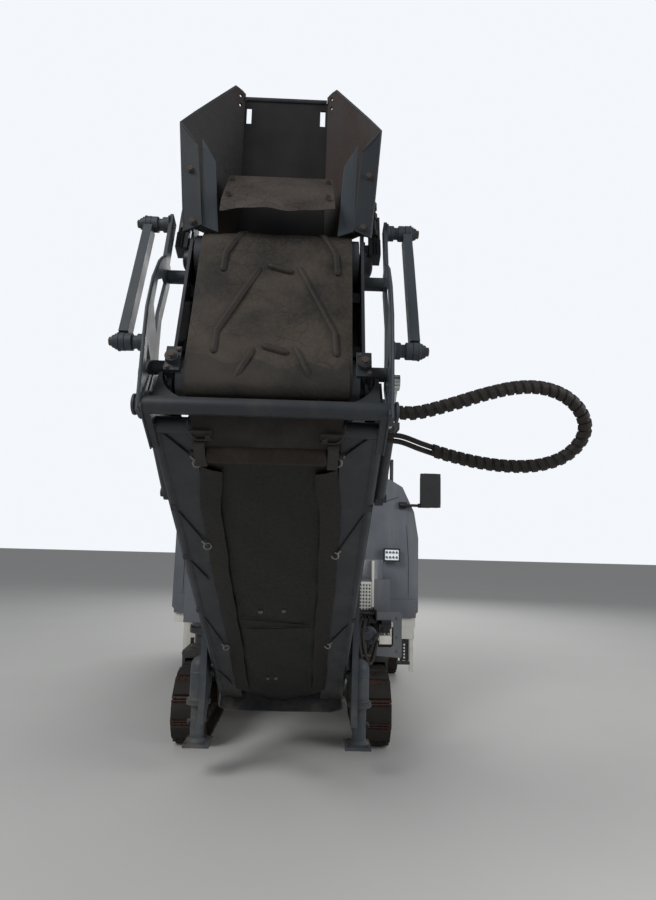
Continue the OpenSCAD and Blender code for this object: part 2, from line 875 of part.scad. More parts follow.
// Its rod, from inside the tube out to the eye.
module piston_rod(r, from, to) {
    translate([0, -from, 0]) rotate([90, 0, 0]) cylinder(r = r, h = to - from - 10);
    rod_x(0, -to, 0, 2 * r + 4, 2 * (r + eye_side));
}

module at_fold_cylinder() {
    at_inner()
        both_sides()
            translate([cyl_x, -inner_l + fold_foot[0], fold_foot[1]]) rotate([-fold_tilt, 0, 0]) children();
}

module at_luff_cylinder() {
    translate([0, -slew_y, luff_z])
        both_sides()
            translate([luff_x, -luff_foot[0], luff_foot[1]]) rotate([-luff_tilt, 0, 0]) children();
}

module fold_barrels() {
    color("#39434f") at_fold_cylinder() barrel(28, 430, 20, fold_rod_r);
}

module luff_barrels() {
    color("#39434f") at_luff_cylinder() barrel(26, 760, 20, luff_rod_r);
}

module luff_rods() {
    color("#b8bcc0") at_luff_cylinder() piston_rod(luff_rod_r, 420, luff_len);
}

module fold_rods() {
    color("#b8bcc0") at_fold_cylinder() piston_rod(fold_rod_r, 160, fold_len);
}

// Hose loop: it leaves the right end of the fold pipe and goes back behind the frame.
HOSE = [
    [476, -3270, 2021], [550, -3271, 2023], [670, -3276, 2056], [795, -3275, 2098],
    [910, -3268, 2128], [1010, -3258, 2134], [1100, -3242, 2112], [1168, -3220, 2064],
    [1200, -3192, 2002], [1184, -3162, 1942], [1130, -3136, 1892], [1046, -3116, 1864],
    [940, -3104, 1858], [820, -3096, 1870], [700, -3092, 1896], [600, -3088, 1926],
    [515, -3086, 1955], [441, -3086, 1958]
];
hose_r = 25;
hose_sides = 10;

function unit(v) = v / norm(v);
function tangent(p, i) = unit(p[min(i + 1, len(p) - 1)] - p[max(i - 1, 0)]);
function ring_points(p, i, r, n) =
    let (t = tangent(p, i), a = unit(cross([0, 1, 0.3], t)), b = cross(t, a))
    [for (k = [0 : n - 1]) p[i] + r * (cos(360 * k / n) * a + sin(360 * k / n) * b)];

module swept_tube(p, r, n) {
    rings = len(p);
    points = [for (i = [0 : rings - 1]) each ring_points(p, i, r, n)];
    sides = [
        for (i = [0 : rings - 2], k = [0 : n - 1])
            let (k2 = (k + 1) % n)
                [i * n + k, i * n + k2, (i + 1) * n + k2, (i + 1) * n + k]
    ];
    start_cap = [for (k = [n - 1 : -1 : 0]) k];
    end_cap = [for (k = [0 : n - 1]) (rings - 1) * n + k];
    polyhedron(points = points, faces = concat(sides, [start_cap, end_cap]), convexity = 10);
}

module spiral_hose() {
    color("#161616") swept_tube(HOSE, hose_r, hose_sides);
}

chassis();
drum_housing();
engine_block();
front_hood();
platform();
guard_rails();
canopy();
seat();
console();
work_lamps();
mirror_arm();  // mirror
slew_bearing();
primary_conveyor();
rear_grille();
engine_hood();
scraper_door();
side_plate(-1);  // side_plate_left
side_plate(1);  // side_plate_right
milling_drum();
for (t = TRACKS) {
    yoke(t[1] * t[2], t[3], barrel_top - 180);
    running_gear(t[1] * t[2], t[3]);
    track_loop(t[1] * t[2], t[3]);
}
slew_hanger();
inner_frame();
pan_liner();
inner_belt();
outer_frame();
outer_belt();
fold_plates();
discharge_hood();
hood_flap();
fold_barrels();
fold_rods();
luff_barrels();
luff_rods();
spiral_hose();
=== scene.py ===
"""Looks of the compact cold planer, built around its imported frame. Every length is in metres."""

import json
import math

import bmesh
import bpy
from mathutils import Matrix, Vector


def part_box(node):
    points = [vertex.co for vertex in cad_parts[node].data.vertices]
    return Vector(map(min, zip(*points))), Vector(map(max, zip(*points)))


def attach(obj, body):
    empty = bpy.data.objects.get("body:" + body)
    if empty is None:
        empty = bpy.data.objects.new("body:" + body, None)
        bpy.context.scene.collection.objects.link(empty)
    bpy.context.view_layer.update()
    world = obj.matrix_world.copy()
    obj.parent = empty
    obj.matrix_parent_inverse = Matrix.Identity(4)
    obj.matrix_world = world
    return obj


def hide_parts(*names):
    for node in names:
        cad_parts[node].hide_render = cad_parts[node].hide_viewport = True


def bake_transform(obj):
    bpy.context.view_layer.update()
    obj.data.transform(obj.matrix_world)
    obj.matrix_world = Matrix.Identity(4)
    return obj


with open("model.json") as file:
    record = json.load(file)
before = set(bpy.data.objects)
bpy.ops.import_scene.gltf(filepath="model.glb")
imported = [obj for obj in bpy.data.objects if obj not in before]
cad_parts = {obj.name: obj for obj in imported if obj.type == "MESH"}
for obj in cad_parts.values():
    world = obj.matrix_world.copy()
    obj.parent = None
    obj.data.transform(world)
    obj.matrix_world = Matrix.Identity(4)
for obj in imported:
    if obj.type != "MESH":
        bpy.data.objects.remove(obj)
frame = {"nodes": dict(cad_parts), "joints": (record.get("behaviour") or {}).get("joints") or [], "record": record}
NODES = frame["nodes"]
JOINTS = {j["name"]: j for j in frame["joints"]}
SLOT_OF = {s["node"]: s["material_slot"] for s in frame["record"]["subparts"]}
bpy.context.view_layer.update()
SIDES = (-1, 1)
UP = (0, 0, 1)
DOWN = (0, 0, -1)
TO_CAMERA = (0, -1, 0)
SHARP_ANGLE = math.radians(38)
# A bar's radius at its ends, at the next ring and from there on, as shares of the whole
DOME = (0.45, 0.9, 1.0)

# Frames of the moving sections. As in the part's source, each section lies along -Y from its
# pivot, with +Z towards its carrying side, and is then turned about that pivot.

LUFF_PIVOT = Vector(JOINTS["conveyor_luff"]["pos_m"])
FOLD_PIVOT = Vector(JOINTS["conveyor_fold"]["pos_m"])
RISE = FOLD_PIVOT - LUFF_PIVOT
INNER_L = RISE.length
INCLINE = math.atan2(RISE.z, -RISE.y)
FOLD_ANGLE = math.radians(JOINTS["conveyor_fold"]["range_deg"][1])
WORLD = Matrix.Identity(4)
INNER = Matrix.Translation(LUFF_PIVOT) @ Matrix.Rotation(-INCLINE, 4, "X")
OUTER = INNER @ Matrix.Translation((0, -INNER_L, 0)) @ Matrix.Rotation(-FOLD_ANGLE, 4, "X")


# Camera, at the photograph's place and angle

PHOTO_H = 900
FOCAL_PX = 616.5
CAMERA_AT = (0.1723, -5.4605, 1.5504)
CAMERA_YAW = math.radians(1.43)
CAMERA_PITCH = math.radians(8.44)
CAMERA_ROLL = math.radians(1.52)


def add_camera():
    data = bpy.data.cameras.new("camera")
    data.sensor_fit = "VERTICAL"
    data.sensor_height = 36
    data.lens = data.sensor_height * FOCAL_PX / PHOTO_H
    data.clip_end = 200
    camera = bpy.data.objects.new("camera", data)
    bpy.context.scene.collection.objects.link(camera)
    turn = Matrix.Rotation(-CAMERA_YAW, 4, "Z") @ Matrix.Rotation(math.pi / 2 + CAMERA_PITCH, 4, "X")
    camera.matrix_world = Matrix.Translation(CAMERA_AT) @ turn @ Matrix.Rotation(CAMERA_ROLL, 4, "Z")
    bpy.context.scene.camera = camera


add_camera()


# Drawing of pieces

def smooth_path(points, steps):
    """A smooth curve through every point, with that many steps in each span."""
    pts = [Vector(p) for p in points]
    ends = [2 * pts[0] - pts[1]] + pts + [2 * pts[-1] - pts[-2]]
    path = []
    for a, b, c, d in zip(ends, ends[1:], ends[2:], ends[3:]):
        for k in range(steps):
            t = k / steps
            path.append(0.5 * (2 * b + (c - a) * t + (2 * a - 5 * b + 4 * c - d) * t * t
                               + (3 * b - a - 3 * c + d) * t ** 3))
    return path + [pts[-1]]


def path_frames(path):
    """For each point of a path: the point, and two unit vectors across the path that don't twist."""
    frames = []
    across = None
    for i, p in enumerate(path):
        along = (path[min(i + 1, len(path) - 1)] - path[max(i - 1, 0)]).normalized()
        if across is None:
            across = along.orthogonal().normalized()
        across = (across - along * across.dot(along)).normalized()
        frames.append((p, across, along.cross(across)))
    return frames


def circle(centre, u, v, r, count):
    """Points round a circle in the plane of the unit vectors u and v."""
    turns = [2 * math.pi * k / count for k in range(count)]
    return [centre + r * (math.cos(t) * u + math.sin(t) * v) for t in turns]


def two_across(along):
    """Two unit vectors across a direction, at right angles to each other."""
    u = along.orthogonal().normalized()
    return u, along.cross(u)


def in_plane(plane, u, v, h):
    """The point at (u, v) in a plane ("XY", "XZ" or "YZ"), and h along the axis across it."""
    return {"XY": (u, v, h), "XZ": (u, h, v), "YZ": (h, u, v)}[plane]


def around(plane, u, v, h, r, count, start=0.0):
    """Points round a circle in a plane, from an angle that is given in steps."""
    turns = [2 * math.pi * (k + start) / count for k in range(count)]
    return [in_plane(plane, u + r * math.cos(t), v + r * math.sin(t), h) for t in turns]


def facing_y(y):
    """For Piece.plate: a plate that stands across Y, with its outline in X and Z."""
    return lambda u, v, h: (u, y + h, v)


def rect(u0, u1, v0, v1):
    return [(u0, v0), (u1, v0), (u1, v1), (u0, v1)]


def square_hole(u, v, half_u, half_v):
    return rect(u - half_u, u + half_u, v - half_v, v + half_v)


class Piece:
    """One mesh piece: solids drawn in a frame, then given a body and a finish."""

    def __init__(self, name, at=WORLD):
        self.name = name
        self.at = at
        self.bm = bmesh.new()

    def mesh(self, points, faces):
        verts = [self.bm.verts.new(self.at @ Vector(p)) for p in points]
        for face in faces:
            self.bm.faces.new([verts[i] for i in face])
        return self

    def box(self, x0, x1, y0, y1, z0, z1):
        """A block between two places on each axis, which may come in either order."""
        points = [(x, y, z) for x in (x0, x1) for y in (y0, y1) for z in (z0, z1)]
        faces = [(0, 1, 3, 2), (4, 6, 7, 5), (0, 4, 5, 1), (2, 3, 7, 6), (0, 2, 6, 4), (1, 5, 7, 3)]
        return self.mesh(points, faces)

    def rings(self, rows, closed=False):
        """Joins rows of points into a skin, with its ends capped unless it closes on itself."""
        n = len(rows[0])
        count = len(rows)
        faces = []
        for i in range(count if closed else count - 1):
            j = (i + 1) % count
            faces += [(i * n + k, i * n + (k + 1) % n, j * n + (k + 1) % n, j * n + k) for k in range(n)]
        if not closed:
            faces.append(tuple(range(n - 1, -1, -1)))
            faces.append(tuple(range((count - 1) * n, count * n)))
        return self.mesh([p for row in rows for p in row], faces)

    def rod(self, a, b, r, sides=24):
        """A round bar from a to b."""
        a, b = Vector(a), Vector(b)
        u, v = two_across((b - a).normalized())
        return self.rings([circle(a, u, v, r, sides), circle(b, u, v, r, sides)])

    def lathe(self, a, along, profile, sides=28):
        """A turned solid: profile lists (distance along the axis, radius) from a."""
        a, along = Vector(a), Vector(along).normalized()
        u, v = two_across(along)
        return self.rings([circle(a + along * d, u, v, r, sides) for d, r in profile])

    def tube(self, points, r, sides=10, steps=4):
        """A round tube on a smooth curve through the points."""
        frames = path_frames(smooth_path(points, steps))
        return self.rings([circle(p, u, v, r, sides) for p, u, v in frames])

    def prism(self, outline, plane, low, high):
        """An outline in a plane, drawn out across it between two heights in either order."""
        return self.rings([[in_plane(plane, u, v, h) for u, v in outline] for h in (low, high)])

    def bolt(self, at, axis, r=0.009):
        """A hexagon head on its washer, standing on a surface."""
        at, axis = Vector(at), Vector(axis).normalized()
        self.rod(at - axis * r * 0.3, at + axis * r * 0.25, r * 1.35, sides=18)
        return self.rod(at + axis * r * 0.2, at + axis * r * 0.95, r, sides=6)

    def bolts(self, spots, axis, r=0.009):
        for at in spots:
            self.bolt(at, axis, r)
        return self

    def plate(self, outline, holes, spot, low, high):
        """A flat plate with holes. spot(u, v, h) puts a point of its outline at height h in space."""
        rings = []
        for h in (low, high):
            edges = []
            loops = []
            for loop in [outline] + holes:
                verts = [self.bm.verts.new(self.at @ Vector(spot(u, v, h))) for u, v in loop]
                edges += [self.bm.edges.new((a, b)) for a, b in zip(verts, verts[1:] + verts[:1])]
                loops.append(verts)
            bmesh.ops.triangle_fill(self.bm, use_beauty=True, use_dissolve=True, edges=edges)
            rings.append(loops)
        for under, over in zip(*rings):
            n = len(under)
            for i in range(n):
                j = (i + 1) % n
                self.bm.faces.new((under[i], under[j], over[j], over[i]))
        return self

    def skin(self, grid, thick):
        """A thin solid: a grid of points, and the same grid moved by the vector thick."""
        rows, cols = len(grid), len(grid[0])
        thick = Vector(thick)
        points = [Vector(p) for row in grid for p in row]
        points += [p + thick for p in points]
        half = rows * cols
        faces = []
        for i in range(rows - 1):
            for k in range(cols - 1):
                a = i * cols + k
                faces.append((a, a + 1, a + cols + 1, a + cols))
                faces.append((half + a, half + a + cols, half + a + cols + 1, half + a + 1))
        rim = list(range(cols)) + [i * cols + cols - 1 for i in range(1, rows)]
        rim += [(rows - 1) * cols + k for k in range(cols - 2, -1, -1)]
        rim += [i * cols for i in range(rows - 2, 0, -1)]
        for a, b in zip(rim, rim[1:] + rim[:1]):
            faces.append((b, a, half + a, half + b))
        return self.mesh(points, faces)

    def bar(self, points, r, flat=1.0, sides=10):
        """A bar with domed ends along a line of points, pressed down to the share flat of its height."""
        path = [Vector(p) for p in points]
        fine = []
        for a, b in zip(path, path[1:]):
            fine += [a.lerp(b, k / 4) for k in range(4)]
        fine.append(path[-1])
        count = len(fine)
        rows = []
        for i, p in enumerate(fine):
            along = (fine[min(i + 1, count - 1)] - fine[max(i - 1, 0)]).normalized()
            side = along.cross(Vector(UP))
            side = side.normalized() if side.length > 0.01 else Vector((1, 0, 0))
            up = side.cross(along)
            end = min(i, count - 1 - i)
            size = r * DOME[min(end, 2)]
            rows.append(circle(p, side, flat * up, size, sides))
        return self.rings(rows)

    def ring(self, centre, axis, r, wire):
        """A round ring of wire."""
        centre, axis = Vector(centre), Vector(axis).normalized()
        rim = circle(Vector(), *two_across(axis), 1, 20)
        return self.rings([circle(centre + out * r, out, axis, wire, 8) for out in rim], closed=True)

    def ball(self, centre, r):
        steps = [math.pi * k / 10 for k in range(1, 10)]
        return self.lathe(centre, UP, [(-r * math.cos(t), r * math.sin(t)) for t in steps], 20)

    def place(self, body, finish, bevel=0.0015):
        """Ends the piece: it rides on a body, unless that is None, and takes a finish."""
        bmesh.ops.recalc_face_normals(self.bm, faces=self.bm.faces)
        data = bpy.data.meshes.new(self.name)
        self.bm.to_mesh(data)
        self.bm.free()
        data.shade_smooth()
        data.set_sharp_from_angle(angle=SHARP_ANGLE)
        obj = bpy.data.objects.new(self.name, data)
        bpy.context.scene.collection.objects.link(obj)
        data.materials.append(FINISHES[finish])
        if bevel:
            edge = obj.modifiers.new("edges", "BEVEL")
            edge.width = bevel
            edge.segments = 2
            edge.limit_method = "ANGLE"
            edge.angle_limit = SHARP_ANGLE
            edge.harden_normals = True
        if body:
            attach(obj, body)
        return obj


# Finishes, which a shader adds here by name when it ends

FINISHES = {}


def rgb(text):
    """A hex colour as it is seen, turned into the linear values that shaders take."""
    parts = [int(text[i:i + 2], 16) / 255 for i in (0, 2, 4)]
    linear = [c / 12.92 if c <= 0.04045 else ((c + 0.055) / 1.055) ** 2.4 for c in parts]
    return (*linear, 1)


def shade(colour, factor, lift=0.0):
    """A darker or lighter tone of a colour."""
    return (*(min(1, c * factor + lift) for c in colour[:3]), 1)


class Shader:
    """A material on one Principled shader, with its texture nodes placed on the object itself."""

    def __init__(self, name, rough=0.5, metal=0.0, specular=0.5):
        self.name = name
        self.material = bpy.data.materials.new(name)
        self.material.use_nodes = True
        self.tree = self.material.node_tree
        self.main = self.tree.nodes["Principled BSDF"]
        self.main.inputs["Roughness"].default_value = rough
        self.main.inputs["Metallic"].default_value = metal
        self.main.inputs["Specular IOR Level"].default_value = specular
        self.place = self.add("ShaderNodeTexCoord").outputs["Object"]

    def add(self, kind, **values):
        node = self.tree.nodes.new(kind)
        for key, value in values.items():
            setattr(node, key, value)
        return node

    def put(self, socket, value):
        if isinstance(value, bpy.types.NodeSocket):
            self.tree.links.new(value, socket)
        else:
            socket.default_value = value

    def noise(self, scale, detail=4.0, rough=0.55, stretch=(1, 1, 1), twist=0.0):
        lay = self.add("ShaderNodeMapping")
        self.put(lay.inputs["Vector"], self.place)
        lay.inputs["Scale"].default_value = stretch
        node = self.add("ShaderNodeTexNoise")
        self.put(node.inputs["Vector"], lay.outputs["Vector"])
        node.inputs["Scale"].default_value = scale
        node.inputs["Detail"].default_value = detail
        node.inputs["Roughness"].default_value = rough
        node.inputs["Distortion"].default_value = twist
        return node.outputs["Fac"]

    def cells(self, scale):
        """Distance from the borders of a pattern of cells."""
        node = self.add("ShaderNodeTexVoronoi", feature="DISTANCE_TO_EDGE")
        self.put(node.inputs["Vector"], self.place)
        node.inputs["Scale"].default_value = scale
        return node.outputs["Distance"]

    def step(self, value, low, high, out_low=0.0, out_high=1.0):
        """Maps low..high to out_low..out_high, held at both ends."""
        node = self.add("ShaderNodeMapRange", clamp=True)
        self.put(node.inputs["Value"], value)
        node.inputs["From Min"].default_value = low
        node.inputs["From Max"].default_value = high
        node.inputs["To Min"].default_value = out_low
        node.inputs["To Max"].default_value = out_high
        return node.outputs["Result"]

    def math(self, kind, a, b=0.0):
        node = self.add("ShaderNodeMath", operation=kind)
        self.put(node.inputs[0], a)
        self.put(node.inputs[1], b)
        return node.outputs[0]

    def times(self, a, b):
        return self.math("MULTIPLY", a, b)

    def mix(self, share, a, b):
        node = self.add("ShaderNodeMix", data_type="RGBA")
        self.put(node.inputs[0], share)
        self.put(node.inputs[6], a)
        self.put(node.inputs[7], b)
        return node.outputs[2]

    def facing_up(self, low=0.35, high=0.95):
        """Where the surface looks upwards, as dust settles."""
        split = self.add("ShaderNodeSeparateXYZ")
        self.put(split.inputs[0], self.add("ShaderNodeNewGeometry").outputs["Normal"])
        return self.step(split.outputs["Z"], low, high)

    def height(self, low, high):
        """1 at low and 0 at high above the ground, as spray and mud settle."""
        split = self.add("ShaderNodeSeparateXYZ")
        self.put(split.inputs[0], self.place)
        return self.step(split.outputs["Z"], low, high, 1.0, 0.0)

    def edges(self, radius=0.006):
        """Where two faces meet, and paint wears off."""
        soft = self.add("ShaderNodeBevel", samples=4)
        soft.inputs["Radius"].default_value = radius
        dot = self.add("ShaderNodeVectorMath", operation="DOT_PRODUCT")
        self.put(dot.inputs[0], soft.outputs[0])
        self.put(dot.inputs[1], self.add("ShaderNodeNewGeometry").outputs["Normal"])
        return self.step(dot.outputs["Value"], 0.99, 0.8)

    def bump(self, *layers):
        """Adds (height, distance in metres) layers, one over the other."""
        normal = None
        for value, distance in layers:
            node = self.add("ShaderNodeBump")
            node.inputs["Strength"].default_value = 1.0
            node.inputs["Distance"].default_value = distance
            self.put(node.inputs["Height"], value)
            if normal is not None:
                self.put(node.inputs["Normal"], normal)
            normal = node.outputs["Normal"]
        self.put(self.main.inputs["Normal"], normal)

    def end(self, colour, rough=None, metal=None):
        self.put(self.main.inputs["Base Color"], colour)
        if rough is not None:
            self.put(self.main.inputs["Roughness"], rough)
        if metal is not None:
            self.put(self.main.inputs["Metallic"], metal)
        FINISHES[self.name] = self.material


def paint(name, colour, dust="8f897f", dusty=0.35, wear="4a3428", worn=0.6, rough=0.42, low_mud=0.5):
    """Sprayed steel: uneven tone, dust on top and low down, streaks, and chipped edges."""
    s = Shader(name, rough)
    base = rgb(colour)
    lighter = shade(base, 1.22, 0.004)
    tone = s.mix(s.step(s.noise(2.2, 5), 0.35, 0.65), shade(base, 0.72), lighter)
    tone = s.mix(0.62, tone, base)
    streak = s.step(s.noise(9, 6, 0.6, (1, 1, 0.12)), 0.5, 0.78, 0, 0.35)
    tone = s.mix(streak, tone, rgb(dust))
    settled = s.times(s.facing_up(), s.step(s.noise(6, 6), 0.3, 0.7, 0.35, 1.0))
    tone = s.mix(s.times(settled, dusty), tone, rgb(dust))
    mud = s.times(s.height(0.0, 0.95), s.step(s.noise(7, 8, 0.65), 0.42, 0.62))
    tone = s.mix(s.times(mud, low_mud), tone, rgb("7b7064"))
    scuff = s.step(s.noise(34, 3, 0.5, (1, 0.08, 1)), 0.69, 0.74, 0, 0.4)
    tone = s.mix(scuff, tone, lighter)
    chipped = s.times(s.edges(), s.step(s.noise(26, 6, 0.7), 0.5, 0.6))
    chipped = s.times(chipped, worn)
    tone = s.mix(chipped, tone, rgb(wear))
    gloss = s.math("ADD", s.step(s.noise(5, 5), 0.3, 0.7, rough - 0.07, rough + 0.1),
                   s.times(s.math("ADD", settled, chipped), 0.25))
    s.bump((s.noise(420, 2), 0.00025), (s.noise(14, 3), 0.0011))
    s.end(tone, gloss)


def rubber(name, colour, dirt, dirty=0.5, rough=0.72, grain=0.0008, cracks=0.0):
    """Rubber with ground-in dust, a fine grain and, where it is old, cracks."""
    s = Shader(name, rough, specular=0.35)
    patch = s.step(s.noise(4.5, 8, 0.62, twist=0.4), 0.36, 0.66)
    speck = s.step(s.noise(70, 6, 0.7), 0.45, 0.7)
    share = s.times(s.math("ADD", s.times(patch, 0.75), s.times(speck, 0.45)), dirty)
    tone = s.mix(share, rgb(colour), rgb(dirt))
    layers = [(s.noise(190, 5), grain), (s.noise(22, 4), 0.002)]
    if cracks:
        crack = s.step(s.cells(17), 0.0, 0.03, 1.0, 0.0)
        crack = s.times(crack, s.step(s.noise(3.0, 3), 0.45, 0.6))
        tone = s.mix(s.times(crack, cracks), tone, rgb("15110e"))
        layers.append((s.times(crack, -1.0), 0.0015))
    s.bump(*layers)
    s.end(tone, s.step(speck, 0, 1, rough - 0.06, rough + 0.1))


def bare_metal(name, colour, rust, rusty=0.5, rough=0.45, metal=0.8, scratch=0.0006):
    """Bare steel or iron with rust in patches and bright rubbed edges."""
    s = Shader(name, rough, metal)
    patch = s.step(s.noise(9, 9, 0.7), 0.5 - rusty * 0.25, 0.62 - rusty * 0.15)
    speck = s.step(s.noise(85, 5, 0.7), 0.5, 0.62, 0, 0.5)
    share = s.math("MINIMUM", s.math("ADD", s.times(patch, rusty), s.times(speck, rusty)), 1.0)
    edge = s.edges(0.004)
    share = s.times(share, s.step(edge, 0, 1, 1.0, 0.35))
    tone = s.mix(share, rgb(colour), rgb(rust))
    s.bump((s.noise(120, 5, 0.6, (1, 0.15, 1)), scratch), (s.noise(30, 6), 0.0012))
    s.end(tone, s.step(share, 0, 1, rough, 0.85), s.step(share, 0, 1, metal, 0.1))


def stained_hood():
    """Inside of the discharge hood: dark paint rubbed through to rust by the material it throws."""
    s = Shader("hood_inside", 0.6)
    rust = s.step(s.noise(3.2, 9, 0.62, (1, 1, 0.55)), 0.42, 0.6)
    dark = s.mix(s.noise(8, 6), rgb("080707"), rgb("141211"))
    tone = s.mix(rust, dark, s.mix(s.noise(40, 5), rgb("20130e"), rgb("33211a")))
    tone = s.mix(s.step(s.noise(16, 8, 0.7), 0.6, 0.72, 0, 0.3), tone, rgb("3a352f"))
    s.bump((s.noise(160, 5), 0.0006), (s.noise(20, 5), 0.002))
    s.end(tone, s.step(rust, 0, 1, 0.5, 0.78))


def plastic(name, colour, rough=0.48, grain=0.0003):
    s = Shader(name, rough)
    base = rgb(colour)
    settled = s.times(s.facing_up(), s.step(s.noise(9, 6), 0.35, 0.7, 0.1, 0.6))
    tone = s.mix(settled, base, shade(base, 1.6, 0.02))
    s.bump((s.noise(300, 3), grain))
    s.end(tone, s.step(s.noise(12, 4), 0.3, 0.7, rough - 0.08, rough + 0.1))


def vinyl():
    """Seat vinyl with a leather grain and rubbed high spots."""
    s = Shader("seat_vinyl", 0.5)
    cell = s.cells(330)
    tone = s.mix(s.step(s.noise(7, 5), 0.35, 0.65), rgb("1b1c1e"), rgb("2c2d30"))
    s.bump((s.step(cell, 0.0, 0.25), 0.0005))
    s.end(tone, s.step(s.noise(9, 4), 0.3, 0.7, 0.42, 0.6))


def chrome():
    """Hard chrome with fine turning marks and a film of dust."""
    s = Shader("rod_chrome", 0.16, 1.0)
    film = s.step(s.noise(12, 7), 0.45, 0.75, 0, 0.5)
    tone = s.mix(film, rgb("c9ccce"), rgb("8b867d"))
    s.bump((s.noise(260, 2, 0.5, (0.05, 1, 1)), 0.00008))
    s.end(tone, s.step(film, 0, 0.5, 0.14, 0.5))


def lens(name, colour, glow=0.0):
    """A ribbed lamp lens."""
    s = Shader(name, 0.12)
    ribs = s.step(s.noise(60, 2, 0.5, (1, 0.05, 0.05)), 0.4, 0.6)
    s.bump((ribs, 0.0006))
    s.main.inputs["Coat Weight"].default_value = 0.6
    if glow:
        s.main.inputs["Emission Color"].default_value = rgb(colour)
        s.main.inputs["Emission Strength"].default_value = glow
    s.end(s.mix(s.noise(25, 3), rgb(colour), rgb("f4f6f7")))


def mirror_glass():
    s = Shader("mirror_glass", 0.05, 1.0)
    s.end(s.mix(s.noise(6, 5), rgb("b9c0c6"), rgb("8f989f")),
          s.step(s.noise(20, 6), 0.4, 0.8, 0.04, 0.2))


paint("cream_paint", "e4e2da", dust="a49c8e", dusty=0.3, wear="6a4a38", worn=0.4)
paint("hood_paint", "63676e", dust="8f8b84", dusty=0.22, worn=0.2, rough=0.38)
paint("conveyor_paint", "24292f", dust="54504a", dusty=0.28, wear="3d2c23", worn=0.6, rough=0.5)
paint("link_paint", "333b43", dust="5f5b54", dusty=0.3, wear="4b3427", worn=0.6, rough=0.52)
paint("dark_paint", "24272a", dust="5f5a53", dusty=0.35, wear="3f3025", worn=0.5)
bare_metal("worn_steel", "5a5652", "3b2d24", 0.5)
stained_hood()
paint("hood_back", "0a0909", dust="1b1715", dusty=0.1, wear="1c120d", worn=0.3, rough=0.8)
chrome()
bare_metal("cast_dark", "34322f", "4a3c31", 0.6, 0.6, 0.5)
bare_metal("track_steel", "3b3835", "4f2c1e", 0.6, 0.5, 0.6, 0.0012)
rubber("belt_rubber", "1f1c19", "594f44", 0.62, 0.74, 0.0014, cracks=0.4)
rubber("black_rubber", "161514", "4c453d", 0.35, 0.6)
# The pan liner is black rubber, and its colour is darkened further as painted shade for the shade under the
# conveyor.
rubber("pan_rubber_with_painted_shade", "050404", "17120e", 0.4, 0.55, cracks=0.3)
vinyl()
plastic("black_plastic", "1c1d1f")
lens("lamp_lens", "dfe6ea", 0.25)
lens("amber_lens", "e88a1c")
lens("red_lens", "b3201a")
mirror_glass()
paint("red_paint", "b02a22", worn=0.3)
rubber("cleat_rubber", "1d1a18", "4a433b", 0.5, 0.7, 0.0012)
# The liner's edge bands and laps: black rubber, with the colour darkened further as painted shade for the shade
# under the conveyor.
rubber("pan_edge_rubber_with_painted_shade", "0c0a08", "211a14", 0.45, 0.6, cracks=0.3)
rubber("pad_rubber", "171514", "37312c", 0.6, 0.75, 0.0015)
rubber("flap_rubber", "2f2926", "5b524b", 0.6, 0.62, 0.0012, cracks=0.5)
bare_metal("bright_steel", "8f8a84", "5a4a3e", 0.3, 0.35)
bare_metal("rusty_brown", "2c2420", "21150f", 0.7, 0.55, 0.3)
paint("dirty_brown", "24211e", dust="4b433a", dusty=0.5, wear="38251a", worn=0.7, rough=0.6)


def finish_cad_nodes():
    """Gives every node of the frame its finish."""
    for name, obj in NODES.items():
        obj.data.materials.clear()
        obj.data.materials.append(FINISHES["pan_rubber_with_painted_shade" if name == "pan_liner" else SLOT_OF[name]])


finish_cad_nodes()


# Stage: a pale floor under a white sky, with soft light

WORLD_TINT = (0.93, 0.96, 1, 1)
WORLD_LIGHT = 0.3
WORLD_SEEN = 0.97
FLOOR_HALF = 60
AIM = (0, 0, 1.3)


def white_where_seen(strength, seen):
    """World light of a plain strength that shows as white to the camera and through glass."""
    world = bpy.data.worlds.new("world")
    bpy.context.scene.world = world
    world.use_nodes = True
    tree = world.node_tree
    back = tree.nodes["Background"]
    back.inputs["Color"].default_value = WORLD_TINT
    path = tree.nodes.new("ShaderNodeLightPath")
    through = tree.nodes.new("ShaderNodeMath")
    through.operation = "MAXIMUM"
    tree.links.new(path.outputs["Is Camera Ray"], through.inputs[0])
    tree.links.new(path.outputs["Is Transmission Ray"], through.inputs[1])
    level = tree.nodes.new("ShaderNodeMapRange")
    tree.links.new(through.outputs[0], level.inputs["Value"])
    level.inputs["To Min"].default_value = strength
    level.inputs["To Max"].default_value = seen
    tree.links.new(level.outputs["Result"], back.inputs["Strength"])


def add_floor():
    data = bpy.data.meshes.new("floor")
    corners = rect(-FLOOR_HALF, FLOOR_HALF, -FLOOR_HALF, FLOOR_HALF)
    data.from_pydata([(x, y, 0) for x, y in corners], [], [(0, 1, 2, 3)])
    floor = bpy.data.objects.new("floor", data)
    bpy.context.scene.collection.objects.link(floor)
    s = Shader("floor", 0.85)
    s.end(s.mix(s.noise(0.8, 4), rgb("c4c4c1"), rgb("cbcbc8")))
    data.materials.append(s.material)


def add_light(name, at, size, watts):
    """A soft round lamp that points at the machine."""
    data = bpy.data.lights.new(name, "AREA")
    data.shape = "DISK"
    data.size = size
    data.energy = watts
    light = bpy.data.objects.new(name, data)
    bpy.context.scene.collection.objects.link(light)
    light.location = at
    light.rotation_euler = (Vector(AIM) - Vector(at)).to_track_quat("-Z", "Y").to_euler()


bpy.context.scene.view_settings.view_transform = "Standard"
white_where_seen(WORLD_LIGHT, WORLD_SEEN)
add_floor()
add_light("key", (-5.5, -7, 7.5), 4.5, 470)
add_light("fill", (7, -5, 4), 5, 260)
add_light("back", (2, 10, 7), 5, 420)


# The hose loop at the fold pipe's right end: two hoses in a spiral guard

